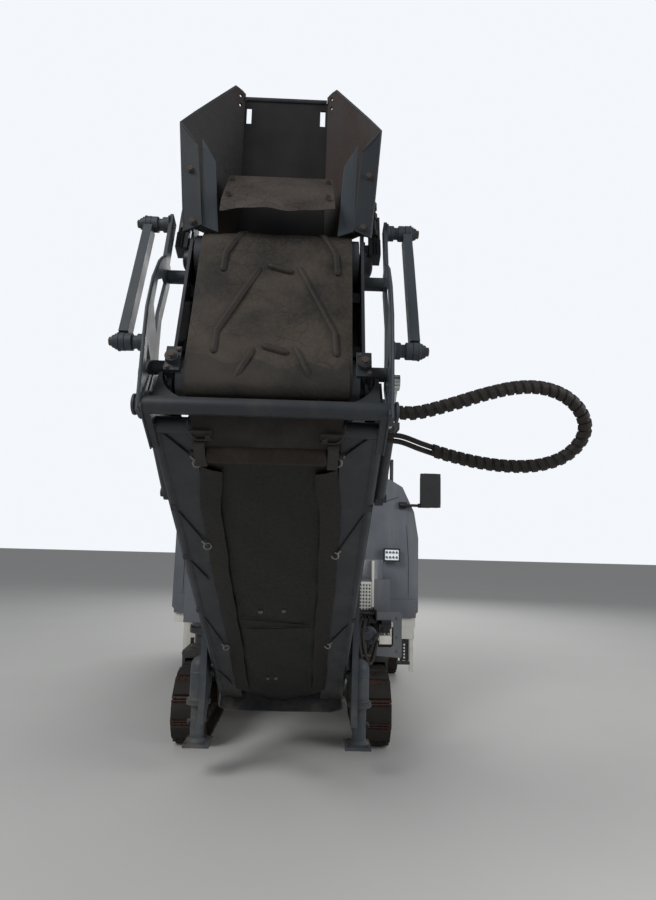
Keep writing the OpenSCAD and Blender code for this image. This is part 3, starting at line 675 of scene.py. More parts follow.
HOSE_ROUTE = [
    (0.476, -3.270, 2.021), (0.550, -3.271, 2.023), (0.670, -3.276, 2.056), (0.795, -3.275, 2.098),
    (0.910, -3.268, 2.128), (1.010, -3.258, 2.134), (1.100, -3.242, 2.112), (1.168, -3.220, 2.064),
    (1.200, -3.192, 2.002), (1.184, -3.162, 1.942), (1.130, -3.136, 1.892), (1.046, -3.116, 1.864),
    (0.940, -3.104, 1.858), (0.820, -3.096, 1.870), (0.700, -3.092, 1.896), (0.600, -3.088, 1.926),
    (0.515, -3.086, 1.955), (0.441, -3.086, 1.958),
]
GUARD_R = 0.0235
HOSE_R = 0.0105
HOSE_APART = HOSE_R + 0.001
WRAP_PITCH = 0.034
WRAP_W = 0.026
WRAP_T = 0.0035
WRAP_STEPS = 8
GUARD_SHARE = 0.86


def path_length(path):
    return sum((b - a).length for a, b in zip(path, path[1:]))


def add_hose_loop():
    """The pair of bare hoses runs the whole way; the guard's coils cover all but its last stretch."""
    route = smooth_path(HOSE_ROUTE, 10)
    length = path_length(route)
    covered = int(len(route) * GUARD_SHARE)
    hoses = Piece("spiral_hose_pair")
    guard = Piece("spiral_hose_guard")
    frames = path_frames(route)
    for side in SIDES:
        hoses.rings([circle(p + v * side * HOSE_APART, u, v, HOSE_R, 10) for p, u, v in frames])
    guard.rings([circle(p, u, v, GUARD_R - WRAP_T, 24) for p, u, v in frames[:covered]])
    add_wrap(guard, frames[:covered])
    twin = hoses.place("inner_section", "black_rubber", bevel=0)
    wrap = guard.place("inner_section", "black_rubber", bevel=0)
    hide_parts("spiral_hose")


def add_wrap(guard, frames):
    """The flat band of the guard, wound round the pair as one helix."""
    samples = []
    travelled = 0.0
    for i, (p, u, v) in enumerate(frames[:-1]):
        q, u2, v2 = frames[i + 1]
        for k in range(WRAP_STEPS):
            t = k / WRAP_STEPS
            samples.append((p.lerp(q, t), u.lerp(u2, t).normalized(), v.lerp(v2, t).normalized(),
                            travelled))
            travelled += (q - p).length / WRAP_STEPS
    rows = []
    for i, (p, u, v, s) in enumerate(samples[:-1]):
        along = (samples[i + 1][0] - p).normalized()
        turn = 2 * math.pi * s / WRAP_PITCH
        out = math.cos(turn) * u + math.sin(turn) * v
        low, high = GUARD_R - WRAP_T, GUARD_R + WRAP_T * 0.6
        half = WRAP_W / 2
        rows.append([p + out * low - along * half, p + out * high - along * half * 0.8,
                     p + out * high + along * half * 0.8, p + out * low + along * half])
    guard.rings(rows)


add_hose_loop()


# Discharge hood. In its own frame up is -Y and the back is +Z, as in the part's source.

HEAD_Y = -0.76
TAIL_Y = -0.15
DRUM_Z = 0.08
HOOD_TURN = FOLD_ANGLE + INCLINE - math.pi / 2
HOOD_FOOT = (0, -0.82, 0.196)
HOOD = OUTER @ Matrix.Translation(HOOD_FOOT) @ Matrix.Rotation(HOOD_TURN, 4, "X")
HOOD_H = 0.88
FLARE = math.radians(39)
# How far the painted skin and the lining lie off the middle of the sheet
SKIN_OUT = 0.004
LINING = (-0.001, 0.0035)
SIDE_OUTLINE = [(0, 0), (0, HOOD_H), (0.06, HOOD_H), (0.358, 0.52), (0.306, 0.06), (0.238, 0.096),
                (0.05, 0.11), (0.01, 0)]


def flare_spot(side):
    """A point of a flared side plate: distance from the back, height, and distance outwards."""
    def spot(s, up, out):
        x = 0.192 + s * math.sin(FLARE) + out * math.cos(FLARE)
        return side * x, -up, 0.002 - s * math.cos(FLARE) + out * math.sin(FLARE)
    return spot


def back_spot(x, up, out):
    return x, -up, out


def add_hood():
    """The discharge hood's flared shell, its linings, its top rod and ribs, and the ears that carry it."""
    shell = Piece("hood_shell", HOOD)
    lining = Piece("hood_lining", HOOD)
    ear_holes = [square_hole(0.03, up, 0.008, 0.008) for up in (0.852, 0.805)]
    for side in SIDES:
        shell.plate(SIDE_OUTLINE, ear_holes, flare_spot(side), SKIN_OUT, 0.0085)
        lining.plate(SIDE_OUTLINE, ear_holes, flare_spot(side), *LINING)
    slots = [square_hole(side * 0.172, 0.766, 0.0115, 0.04) for side in SIDES]
    back = rect(-0.197, 0.197, 0.004, 0.845)
    shell.plate(back, slots, back_spot, SKIN_OUT, 0.008)
    rear = Piece("hood_back_lining", HOOD)
    rear.plate(back, slots, back_spot, *LINING)
    rear.place("outer_section", "hood_back", bevel=0)
    shell.rod((-0.19, -0.85, 0.0), (0.19, -0.85, 0.0), 0.011)
    shell.box(-0.2, 0.2, -0.5, -0.46, 0.008, 0.03)
    shell.box(-0.2, 0.2, -0.14, -0.1, 0.008, 0.03)
    ear = Piece("hood_ears", OUTER)
    for side in SIDES:
        ear.box(side * 0.349, side * 0.3595, -0.94, -0.8203, -0.05, 0.06)
        spots = [(side * 0.362, y, z) for y in (-0.845, -0.92) for z in (-0.03, 0.03)]
        ear.bolts(spots, (side, 0, 0), 0.008)
    hull = shell.place("outer_section", "conveyor_paint")
    lining.place("outer_section", "hood_inside", bevel=0)
    ear.place("outer_section", "conveyor_paint")
    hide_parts("discharge_hood")
    add_hood_front()


def add_hood_front():
    """The plates bent inwards at the hood's front edges, and the strips bolted behind them."""
    front = Piece("hood_front_flanges", HOOD)
    strip = Piece("hood_guide_strips", HOOD)
    screws = Piece("hood_front_bolts", HOOD)
    for side in SIDES:
        flange = [(0.417, 0.52, -0.277), (0.34, 0.425, -0.272), (0.312, 0.09, -0.238),
                  (0.383, 0.06, -0.236)]
        guide = [(0.325, 0.46, -0.262), (0.268, 0.365, -0.25), (0.248, 0.07, -0.216),
                 (0.318, 0.09, -0.228)]
        for piece, corners, thick in ((front, flange, 0.006), (strip, guide, 0.008)):
            a, b, c, d = [(side * x, -up, z) for x, up, z in corners]
            piece.skin([[a, b], [d, c]], (0, 0, thick))
        screws.bolt((side * 0.37, -0.32, -0.262), (0, 0.1, -1), 0.011)
        screws.bolt((side * 0.352, -0.1, -0.243), (0, 0.1, -1), 0.011)
        rim = [(0, HOOD_H), (0.06, HOOD_H), (0.358, 0.52)]
        spot = flare_spot(side)
        front.bar([spot(s, up, 0.004) for s, up in rim], 0.0065)
        front.bar([(side * 0.417, -0.52, -0.277), (side * 0.34, -0.425, -0.272)], 0.0045)
    front.place("outer_section", "conveyor_paint")
    strip.place("outer_section", "link_paint")
    screws.place("outer_section", "worn_steel", bevel=0)


FLAP_L = 0.295
FLAP_TOP = 0.37
FLAP_FRONT = -0.12
FLAP_SLOPE = math.radians(36)


def flap_belly(share):
    """How far the flap bulges at that share of its length."""
    return 0.02 * math.sin(math.pi * min(share * 0.9 + 0.08, 1))


def add_flap():
    """The rubber flap under its rod: it bellies, and its lower edge is worn into waves."""
    flap = Piece("hood_rubber_flap", HOOD)
    cols, rows = 30, 18
    grid = []
    for i in range(rows + 1):
        v = i / rows
        row = []
        for k in range(cols + 1):
            u = 2 * k / cols - 1
            length = FLAP_L + 0.006 * math.sin(5.3 * u + 0.6) + 0.005 * math.sin(11 * u) - 0.012 * u
            d = v * length - 0.014
            x = u * (0.222 + 0.012 * v)
            belly = flap_belly(v) + 0.006 * math.sin(3 * u + 1) * v
            curl = 0.024 * max(0, v - 0.8) / 0.2 * (0.6 + 0.4 * math.sin(4 * u))
            up = FLAP_TOP - d * math.cos(FLAP_SLOPE) - belly * math.sin(FLAP_SLOPE) * 0.4
            z = FLAP_FRONT - d * math.sin(FLAP_SLOPE) - 0.0135 - belly + curl
            row.append((x, -up, z))
        grid.append(row)
    flap.skin(grid, (0, 0.004, -0.008))
    worn = flap.place("outer_section", "flap_rubber", bevel=0)
    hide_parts("hood_flap")
    holders = Piece("flap_bolts", HOOD)
    for side in SIDES:
        for d in (0.05, 0.2):
            up = FLAP_TOP - d * math.cos(FLAP_SLOPE)
            z = FLAP_FRONT - d * math.sin(FLAP_SLOPE) - 0.022 - flap_belly(d / FLAP_L)
            holders.bolt((side * 0.205, -up, z), (0, 0.6, -0.8), 0.008)
    holders.bar([(-0.2, -0.372, -0.134), (0.2, -0.372, -0.134)], 0.006)
    holders.place("outer_section", "worn_steel", bevel=0)


add_hood()
add_flap()


# Belts: a band with a worn face, and chevron cleats that follow it round its drums

BELT_HALF = 0.31
BELT_T = 0.014


class LoopPath:
    """A loop over two wheels in the YZ plane; s starts at the first wheel, along the lower run."""

    def __init__(self, first_y, last_y, z, r):
        self.first, self.last, self.z, self.r = first_y, last_y, z, r
        self.way = math.copysign(1, last_y - first_y)
        self.run = abs(last_y - first_y)
        self.length = 2 * (self.run + math.pi * r)

    def at(self, s, lift=0.0):
        """The point (y, z) at s along the loop's face, raised by lift."""
        s %= self.length
        r, bend = self.r + lift, math.pi * self.r
        if s < self.run:
            return self.first + self.way * s, self.z - r
        if s < self.run + bend:
            a = (s - self.run) / self.r
            return self.last + self.way * r * math.sin(a), self.z - r * math.cos(a)
        if s < 2 * self.run + bend:
            return self.last - self.way * (s - self.run - bend), self.z + r
        a = (s - 2 * self.run - bend) / self.r
        return self.first - self.way * r * math.sin(a), self.z + r * math.cos(a)


def belt_wave(s, x):
    """How far the worn band lies off its true face; its edges droop."""
    waves = 0.0016 * math.sin(19 * s + 3 * x) + 0.0012 * math.sin(31 * x + 7 * s)
    return waves - 0.004 * abs(x / BELT_HALF) ** 6


def add_belt(name, node, body, at, path, first, pitch_n):
    """first is where the first chevron's middle bar lies along the loop."""
    band = Piece(name, at)
    cols = 22
    stations = 120
    rows = []
    for i in range(stations):
        s = path.length * i / stations
        outer, inner = [], []
        for k in range(cols + 1):
            x = BELT_HALF * (2 * k / cols - 1)
            y, z = path.at(s, belt_wave(s, x))
            outer.append((x, y, z))
            y, z = path.at(s, -BELT_T + 0.0008)
            inner.append((x, y, z))
        rows.append(outer + inner[::-1])
    band.rings(rows, closed=True)
    cleats = Piece(name + "_cleats", at)
    pitch = path.length / pitch_n
    for n in range(pitch_n):
        s0 = first + n * pitch
        arms = [
            [(-0.028, 0.012), (0.07, -0.018)],
            [(0.095, 0.01), (0.17, -0.155), (0.243, -0.315), (0.25, -0.42)],
            [(-0.06, 0.0), (-0.13, -0.15), (-0.205, -0.32), (-0.208, -0.42)],
        ]
        for k, arm in enumerate(arms):
            cleats.bar([(x, *path.at(s0 + ds, 0.003)) for x, ds in fine_line(arm)],
                       0.0125 if k else 0.015, 0.8)
    worn = band.place(body, "belt_rubber", bevel=0)
    cleats.place(body, "cleat_rubber", bevel=0)
    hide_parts(node)


def fine_line(points):
    """The same line of flat points, with more of them."""
    out = []
    for a, b in zip(points, points[1:]):
        out += [(a[0] + (b[0] - a[0]) * k / 3, a[1] + (b[1] - a[1]) * k / 3) for k in range(3)]
    return out + [points[-1]]


OUTER_BELT = LoopPath(TAIL_Y, HEAD_Y, DRUM_Z, 0.119)
add_belt("outer_belt_band", "outer_belt", "outer_section", OUTER, OUTER_BELT, 0.477, 5)
INNER_BELT = LoopPath(0.32, 0.32 - (INNER_L + 0.05), 0.13, 0.084)
add_belt("inner_belt_band", "inner_belt", "inner_section", INNER, INNER_BELT, 0.3, 14)


def add_belt_bridge():
    """The return run goes on from the outer section, behind the fold pipe, to the return roller."""
    bridge = Piece("belt_bridge")
    to_inner = INNER.inverted() @ OUTER
    outer_part = [(-0.2, -0.0385), (-0.12, -0.0405), (-0.075, -0.035), (-0.05, -0.012), (-0.042, 0.015)]
    line = [to_inner @ Vector((0, y, z)) for y, z in outer_part]
    inner_part = [(-2.492, 0.034), (-2.455, 0.006), (-2.41, -0.034), (-2.36, -0.06)]
    line += [Vector((0, y, z)) for y, z in inner_part]
    path = smooth_path(line, 5)
    cols = 16
    grid = []
    for i, p in enumerate(path):
        half = 0.3 - 0.045 * max(0, i / len(path) - 0.6) / 0.4
        grid.append([INNER @ Vector((half * (2 * k / cols - 1), p.y, p.z)) for k in range(cols + 1)])
    bridge.skin(grid, INNER.to_3x3() @ Vector((0, 0.001, 0.006)))
    strip = bridge.place(None, "cleat_rubber", bevel=0)
    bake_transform(strip)


add_belt_bridge()


# Underside of the inner section: liner, return roller, strap rods and their rings

def liner_half(a):
    """Half-width of the rubber liner at distance a along the section."""
    if a > 1.9:
        return 0.3 - 0.04 * (a - 1.9) / 0.36
    if a < -0.2:
        t = (-0.2 - a) / 0.22
        return 0.3 - 0.2 * t * t
    return 0.3


def liner_edge(a):
    """The same half-width, with the waves of the liner's worn edge."""
    return liner_half(a) + 0.003 * math.sin(5 * a + 2) + 0.0015 * math.sin(23 * a)


def add_liner():
    liner = Piece("pan_liner_sheet", INNER)
    cols, rows = 40, 90
    grid = []
    for i in range(rows + 1):
        a = 2.262 + (-0.42 - 2.262) * i / rows
        row = []
        for k in range(cols + 1):
            u = 2 * k / cols - 1
            half = liner_edge(a)
            fold = math.exp(-((abs(u) - 0.74) / 0.09) ** 2)
            sag = 0.02 * (1 - min(1, abs(u) / 0.72) ** 4)
            dip = 0.012 * fold + 0.0025 * math.sin(14 * a + 5 * u) + sag
            row.append((u * half, -a, -0.0185 - dip))
        grid.append(row)
    liner.skin(grid, (0, 0, 0.004))
    sheet = liner.place("inner_section", "pan_rubber_with_painted_shade", bevel=0)
    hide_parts("pan_liner")
    bands = Piece("pan_liner_bands", INNER)
    for side in SIDES:
        grid = []
        for i in range(61):
            a = 2.2 - 2.42 * i / 60
            half = liner_edge(a)
            wave = 0.002 * math.sin(11 * a + side)
            grid.append([(side * (half - 0.085 + wave), -a, -0.047), (side * (half - 0.045), -a, -0.040),
                         (side * (half + 0.006 + wave), -a, -0.0205)])
        bands.skin(grid, (0, 0, -0.004))
    bands.place("inner_section", "pan_edge_rubber_with_painted_shade", bevel=0)
    studs = Piece("pan_liner_bolts", INNER)
    spots = [(-0.085, 0.983), (0.041, 1.0), (-0.08, 0.016), (-0.027, 0.019)]
    studs.bolts([(x, -a, -0.041) for x, a in spots], DOWN)
    studs.place("inner_section", "bright_steel", bevel=0)
    seam = Piece("pan_liner_laps", INNER)
    for a, lean in ((0.86, 0.03), (0.78, -0.02)):
        seam.bar([(-0.21, -a - lean, -0.0415), (0.0, -a, -0.0432), (0.19, -a + lean, -0.0415)], 0.0022)
    seam.place("inner_section", "pan_edge_rubber_with_painted_shade", bevel=0)


STRAPS = [
    # Upper end at the edge tube and lower end at the ring, each as (x, distance along the section)
    ((-0.42, 2.42), (-0.292, 2.246)), ((-0.42, 1.91), (-0.318, 1.638)), ((-0.425, 1.5), (-0.335, 1.28)),
    ((-0.43, 0.94), (-0.33, 0.49)), ((-0.43, 0.15), (-0.33, -0.16)),
    ((0.42, 2.43), (0.285, 2.272)), ((0.425, 1.94), (0.307, 1.581)), ((0.43, 0.85), (0.31, 0.546)),
]
RINGED = (0, 1, 3, 5, 6, 7)


def add_straps():
    """The rods that hold the liner to the edge tubes, most of them with a ring at the lower end."""
    rods = Piece("pan_strap_rods", INNER)
    rings = Piece("pan_hook_rings", INNER)
    for k, ((x0, a0), (x1, a1)) in enumerate(STRAPS):
        rods.bar([(x0, -a0, -0.019), ((x0 + x1) / 2, -(a0 + a1) / 2, -0.018), (x1, -a1, -0.022)], 0.0048)
        rods.box(x0 - 0.012, x0 + 0.012, -a0 - 0.02, -a0 + 0.02, -0.024, -0.012)
        if k in RINGED:
            side = 1 if x1 > 0 else -1
            centre = (x1 - side * 0.014, -a1 + 0.012, -0.034)
            rings.ring(centre, (0.3 * side, 0.5, 1), 0.017, 0.0042)
            rings.bar([(x1 + side * 0.012, -a1 - 0.02, -0.024), (x1 - side * 0.004, -a1, -0.03)], 0.006)
    rods.place("inner_section", "black_plastic", bevel=0)
    rings.place("inner_section", "bright_steel", bevel=0)


ROLLER_Y = -2.325
ROLLER_Z = -0.058


def add_return_roller():
    """The belt's return roller between two brackets, with a grease line at each end."""
    roller = Piece("return_roller", INNER)
    roller.lathe((-0.225, ROLLER_Y, ROLLER_Z), (1, 0, 0),
                 [(0, 0.03), (0.004, 0.038), (0.12, 0.0395), (0.225, 0.038), (0.33, 0.0395),
                  (0.446, 0.038), (0.45, 0.03)], sides=32)
    roller.place("inner_section", "rusty_brown", bevel=0)
    ends = Piece("return_roller_brackets", INNER)
    for side in SIDES:
        ends.box(side * 0.228, side * 0.27, -2.39, -2.27, -0.082, -0.012)
        ends.box(side * 0.2, side * 0.285, -2.435, -2.385, -0.05, -0.042)
        ends.bolt((side * 0.215, -2.41, -0.05), DOWN, 0.011)
        ends.rod((side * 0.225, ROLLER_Y, ROLLER_Z), (side * 0.29, ROLLER_Y, ROLLER_Z), 0.012)
        ends.tube([(side * 0.29, -2.46, -0.02), (side * 0.285, -2.43, -0.045),
                   (side * 0.26, -2.4, -0.06), (side * 0.2, -2.4, ROLLER_Z)], 0.004, 8)
    ends.place("inner_section", "dirty_brown")


add_liner()
add_straps()
add_return_roller()


# Fold pipe: end plates, welds, the welds' painted shadows and the gussets' edges

def add_pipe_details():
    ends = Piece("fold_pipe_ends", INNER)
    for side in SIDES:
        ends.lathe((side * 0.468, -INNER_L, 0), (side, 0, 0),
                   [(0, 0.033), (0, 0.039), (0.009, 0.039), (0.011, 0.034)])
        ends.box(side * 0.4405, side * 0.447, -INNER_L - 0.03, -INNER_L + 0.2, -0.04, 0.06)
    ends.place("inner_section", "link_paint")
    weld = Piece("fold_pipe_welds", INNER)
    for side in SIDES:
        points = []
        for k in range(33):
            x = side * (0.432 - 0.168 * k / 32)
            lift = 0.0315 + 0.003 * math.sin(k * 2.4)
            points.append((x, -INNER_L + 0.001, lift))
        weld.bar(points, 0.0042, sides=6)
        weld.bar([(side * 0.437, -INNER_L, 0.034), (side * 0.439, -INNER_L, 0.17)], 0.005, sides=6)
    weld.place("inner_section", "link_paint", bevel=0)
    # A thin black bar along each weld's edge: a painted shadow of the weld on the pipe.
    marks = Piece("fold_pipe_weld_shadow", INNER)
    for side in SIDES:
        points = [(side * (0.432 - 0.16 * k / 24), -INNER_L - 0.012 + 0.0025 * math.sin(k * 2.1), 0.0305)
                  for k in range(25)]
        marks.bar(points, 0.0022, sides=6)
    marks.place("inner_section", "black_plastic", bevel=0)


add_pipe_details()


# Fold linkage on the outer section

NECK_X = 0.446
LINK_X = 0.542
LINK_LOW = (-0.25, -0.03)
LINK_TOP = (-0.89, 0.01)


def add_link_details():
    links = Piece("link_bosses", OUTER)
    screws = Piece("link_bolts", OUTER)
    for side in SIDES:
        for y, z in (LINK_LOW, LINK_TOP):
            links.lathe((side * (LINK_X + 0.016), y, z), (side, 0, 0),
                        [(0, 0.036), (0.006, 0.036), (0.008, 0.03), (0.016, 0.03)], 32)
            links.lathe((side * (NECK_X + 0.014), y, z), (side, 0, 0),
                        [(0, 0.04), (0.006, 0.04), (0.01, 0.032), (0.03, 0.032), (0.032, 0.027)], 32)
            links.lathe((side * (LINK_X - 0.034), y, z), (side, 0, 0),
                        [(0, 0.027), (0.003, 0.033), (0.028, 0.033), (0.03, 0.03)], 32)
            screws.bolt((side * (LINK_X + 0.04), y, z), (side, 0, 0), 0.017)
            for turn in range(3):
                t = turn * 2.1 + 0.5
                spot = (side * (LINK_X + 0.032), y + 0.02 * math.cos(t), z + 0.02 * math.sin(t))
                screws.bolt(spot, (side, 0, 0), 0.006)
        add_link_edges(links, side)
        raise_neck_edge(links, side)
    links.place("outer_section", "link_paint")
    screws.place("outer_section", "worn_steel", bevel=0)


def add_link_edges(links, side):
    """An outer link as a thick bar, with raised edges along its outer face."""
    low, high = Vector((0, *LINK_LOW)), Vector((0, *LINK_TOP))
    along = (high - low).normalized()
    wide = Vector((1, 0, 0)).cross(along)
    half = wide * 0.029
    inner, outer = side * (LINK_X - 0.014), side * (LINK_X + 0.022)
    ends = [low + along * 0.03 - half, low + along * 0.03 + half, high - along * 0.03 + half,
            high - along * 0.03 - half]
    links.prism([(p.y, p.z) for p in ends], "YZ", inner, outer)
    for edge in SIDES:
        a = low + along * 0.035 + wide * edge * 0.0145
        b = high - along * 0.035 + wide * edge * 0.0145
        x = side * (LINK_X + 0.022)
        links.bar([(x, a.y, a.z), (x, (a.y + b.y) / 2, (a.z + b.z) / 2), (x, b.y, b.z)], 0.004, sides=6)


def raise_neck_edge(links, side):
    """The rolled edges along the swan-neck plate's two outside curves."""
    x = side * (NECK_X + 0.007)
    upper = [(0.04, 0.03), (-0.06, 0.09), (-0.182, 0.14), (-0.3, 0.09), (-0.42, 0.06), (-0.62, 0.09),
             (-0.7, 0.06)]
    lower = [(0.04, -0.03), (-0.04, -0.05), (-0.2, -0.09), (-0.35, -0.12), (-0.5, -0.11),
             (-0.62, -0.07), (-0.7, -0.01)]
    for rim in (upper, lower):
        links.tube([(x, y, z) for y, z in rim], 0.0045, 8)


OUTER_HALF = 0.36
SCREW_X = 0.412
SCREW_Z = 0.042


def add_outer_frame_details():
    """Bearings and belt-tensioning screws beside the drums, and the blocks at the lower corners."""
    housing = Piece("outer_bearings", OUTER)
    screws = Piece("tension_screws", OUTER)
    bolts = Piece("outer_frame_bolts", OUTER)
    for side in SIDES:
        for y in (HEAD_Y, TAIL_Y):
            housing.lathe((side * OUTER_HALF, y, DRUM_Z), (side, 0, 0),
                          [(0, 0.062), (0.012, 0.062), (0.016, 0.046), (0.034, 0.042), (0.04, 0.03),
                           (0.044, 0.012)], 30)
            for t in (0.8, 2.35, 3.9, 5.5):
                spot = (side * (OUTER_HALF + 0.012), y + 0.052 * math.cos(t),
                        DRUM_Z + 0.052 * math.sin(t))
                bolts.bolt(spot, (side, 0, 0), 0.0075)
        housing.box(side * 0.386, side * 0.438, -1.03, -0.865, 0.052, 0.066)
        housing.box(side * 0.386, side * 0.438, -0.885, -0.8, 0.04, 0.11)
        housing.box(side * OUTER_HALF, side * 0.4, -0.86, -0.8, 0.05, 0.1)
        x = side * SCREW_X
        screws.rod((x, -0.79, SCREW_Z), (x, -1.07, SCREW_Z), 0.0085)
        screws.rod((x, -0.9, SCREW_Z), (x, -0.93, SCREW_Z), 0.016, sides=6)
        screws.rod((x, -1.0, SCREW_Z), (x, -1.035, SCREW_Z), 0.015, sides=6)
        screws.lathe((x, -1.06, SCREW_Z), TO_CAMERA,
                     [(0, 0.0085), (0.004, 0.014), (0.02, 0.014), (0.024, 0.008)])
        screws.ball((x, -1.095, SCREW_Z), 0.0145)
        add_corner_block(housing, bolts, side)
        for y in (-0.2, -0.42, -0.62):
            bolts.bolt((side * OUTER_HALF, y, 0.155), (side, 0, 0), 0.009)
        for y in (-0.25, -0.45, -0.65):
            bolts.bolt((side * 0.338, y, 0.192), UP, 0.008)
    housing.place("outer_section", "conveyor_paint")
    screws.place("outer_section", "black_plastic", bevel=0)
    bolts.place("outer_section", "worn_steel", bevel=0)


BLOCK_X = 0.354
BLOCK_Y = -0.18


def add_corner_block(housing, bolts, side):
    """A dirty bearing block in the corner between the frame and the belt, near the fold pipe."""
    housing.box(side * 0.325, side * 0.382, -0.235, -0.13, -0.035, 0.03)
    housing.rod((side * BLOCK_X, BLOCK_Y, -0.03), (side * BLOCK_X, BLOCK_Y, -0.058), 0.026)
    bolts.bolt((side * BLOCK_X, BLOCK_Y, -0.058), DOWN, 0.014)
    bolts.bolt((side * 0.338, -0.22, -0.036), DOWN, 0.008)
    bolts.bolt((side * 0.372, -0.142, -0.036), DOWN, 0.008)


add_link_details()
add_outer_frame_details()


# Tracks: steel shoes on a link chain, each with a bolted rubber pad

SHOE_N = 20
GROUSER_H = 0.034
CHAIN_T = 0.026
YOKE_GAP = 0.006
YOKE_T = 0.024
CORNERS = ("front_left", "front_right", "rear_left", "rear_right")


def track_path(corner):
    """A track node's lowest and highest corners, and the path of its shoes."""
    low, high = (Vector(p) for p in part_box("track_" + corner))
    half_h = (high.z - low.z) / 2
    return low, high, LoopPath(low.y + half_h, high.y - half_h, low.z + half_h, half_h - GROUSER_H)


def add_track(corner):
    """A track's shoes, its link chain and its pads, each outline as (share of the pitch, height)."""
    low, high, path = track_path(corner)
    x0, x1 = low.x, high.x
    middle = (x0 + x1) / 2
    pitch = path.length / SHOE_N
    shoes = Piece("track_shoes_" + corner)
    links = Piece("track_links_" + corner)
    pads = Piece("track_pads_" + corner)
    base = GROUSER_H * 0.5
    plate = [(0.02, -0.004), (0.02, base + 0.005), (0.07, base + 0.005), (0.1, base - 0.003),
             (0.88, base - 0.003), (0.9, base + 0.003), (0.965, base + 0.003), (0.965, -0.004)]
    pad = [(0.13, base - 0.004), (0.13, base + 0.003), (0.17, GROUSER_H - 0.002), (0.2, GROUSER_H),
           (0.77, GROUSER_H), (0.8, GROUSER_H - 0.002), (0.84, base + 0.003), (0.84, base - 0.004)]
    link = [(0.02, -0.003), (0.98, -0.003), (0.93, -CHAIN_T), (0.07, -CHAIN_T)]
    band = [(0, -0.003), (1.02, -0.003), (1.02, -0.008), (0, -0.008)]
    outlines = (plate, pad, link, band, [(0, -0.014)])
    for n in range(SHOE_N):
        laid = ([path.at((n + s) * pitch, h) for s, h in outline] for outline in outlines)
        shoe, rubber, bar, strip, (pin,) = laid
        shoes.prism(shoe, "YZ", x0, x1)
        pads.prism(rubber, "YZ", x0 + 0.005, x1 - 0.005)
        for side in SIDES:
            links.prism(bar, "YZ", middle + side * 0.04, middle + side * 0.06)
            for s in (0.055, 0.925):
                foot, head = (path.at((n + s) * pitch, base + lift) for lift in (0.001, 0.01))
                for x in (middle + side * 0.055, middle + side * 0.105):
                    shoes.rod((x, *foot), (x, *head), 0.0075, sides=6)
        links.prism(strip, "YZ", x0 + 0.004, x1 - 0.004)
        links.rod((middle - 0.068, *pin), (middle + 0.068, *pin), 0.009, sides=12)
    steel = shoes.place("track_unit_" + corner, "track_steel", bevel=0.0012)
    links.place("track_unit_" + corner, "cast_dark", bevel=0)
    pads.place("track_unit_" + corner, "pad_rubber", bevel=0.002)
    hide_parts("track_" + corner)


def add_running_details(corner):
    """Wheel hubs and roller caps inside a track, and the yoke's pivot cap and bolts."""
    low, high, path = track_path(corner)
    middle, middle_y = (low.x + high.x) / 2, (low.y + high.y) / 2
    body = "track_unit_" + corner
    caps = Piece("track_hubs_" + corner)
    bolts = Piece("yoke_bolts_" + corner)
    for side in SIDES:
        for y in (path.first, path.last):
            caps.lathe((middle + side * 0.05, y, path.z), (side, 0, 0),
                       [(0, 0.09), (0.014, 0.09), (0.018, 0.05), (0.045, 0.044), (0.05, 0.03)])
            spots = around("YZ", y, path.z, middle + side * 0.063, 0.072, 8)
            bolts.bolts(spots, (side, 0, 0), 0.008)
        for k in (-1.5, -0.5, 0.5, 1.5):
            roller = (middle + side * 0.064, middle_y + k * 0.17, path.z - path.r + CHAIN_T + 0.0625)
            caps.lathe(roller, (side, 0, 0),
                       [(0, 0.045), (0.006, 0.045), (0.012, 0.03), (0.02, 0.026)], 20)
        out = middle + side * 0.16
        caps.lathe((out, middle_y, path.z), (side, 0, 0),
                   [(0, 0.07), (0.008, 0.07), (0.012, 0.058), (0.013, 0.03)])
        bolts.bolts([(out + side * 0.001, middle_y + y, 0.604) for y in (-0.12, -0.06, 0.06, 0.12)],
                    (side, 0, 0), 0.011)
    caps.place(body, "cast_dark", bevel=0)
    bolts.place(body, "worn_steel", bevel=0)


for corner in CORNERS:
    add_track(corner)
    add_running_details(corner)


def add_track_stripe():
    """A thin red line on the outer side of the right front track's yoke."""
    low, high, path = track_path("front_right")
    x = high.x + YOKE_GAP + YOKE_T
    stripe = Piece("red_stripe")
    stripe.box(x - 0.0015, x + 0.0015, -0.16, 0.16, 0.622, 0.632)
    stripe.box(x - 0.023, x, -0.1665, -0.1645, 0.622, 0.632)
    stripe.place("track_unit_front_right", "red_paint", bevel=0)


add_track_stripe()


# Support legs of the conveyor's hanger

LEG_X = 0.534
LEG_Y = -1.15
FOOT_TOP_Z = 0.231
COLLAR_Z = 0.492
PIN_Z = 0.36


def add_leg_details():
    """Collars, cross pins, pull rings and bolts on the two support legs."""
    parts = Piece("leg_details")
    bolts = Piece("leg_bolts")
    for side in SIDES:
        x = side * LEG_X
        parts.lathe((x, LEG_Y, FOOT_TOP_Z), UP,
                    [(0, 0.066), (0.01, 0.066), (0.028, 0.0475), (0.03, 0.0455)])
        parts.lathe((x, LEG_Y, COLLAR_Z), UP,
                    [(0, 0.078), (0.01, 0.078), (0.014, 0.066), (0.02, 0.063)])
        parts.lathe((x, LEG_Y, 0.66), UP,
                    [(0, 0.062), (0.004, 0.065), (0.012, 0.065), (0.016, 0.062)])
        parts.rod((x - 0.06, LEG_Y, PIN_Z), (x + 0.06, LEG_Y, PIN_Z), 0.012)
        parts.ring((x + side * 0.062, LEG_Y, 0.352), (1, 0, 0.2), 0.016, 0.0035)
        bolts.bolts(around("XY", x, LEG_Y, COLLAR_Z, 0.071, 6, 0.5), UP, 0.006)
        bolts.bolts([(x + dx, LEG_Y + dy, 0.236) for dx in (-0.065, 0.05) for dy in (-0.075, 0.075)],
                    UP)
    parts.place("conveyor_hanger", "link_paint")
    bolts.place("conveyor_hanger", "worn_steel", bevel=0)


add_leg_details()


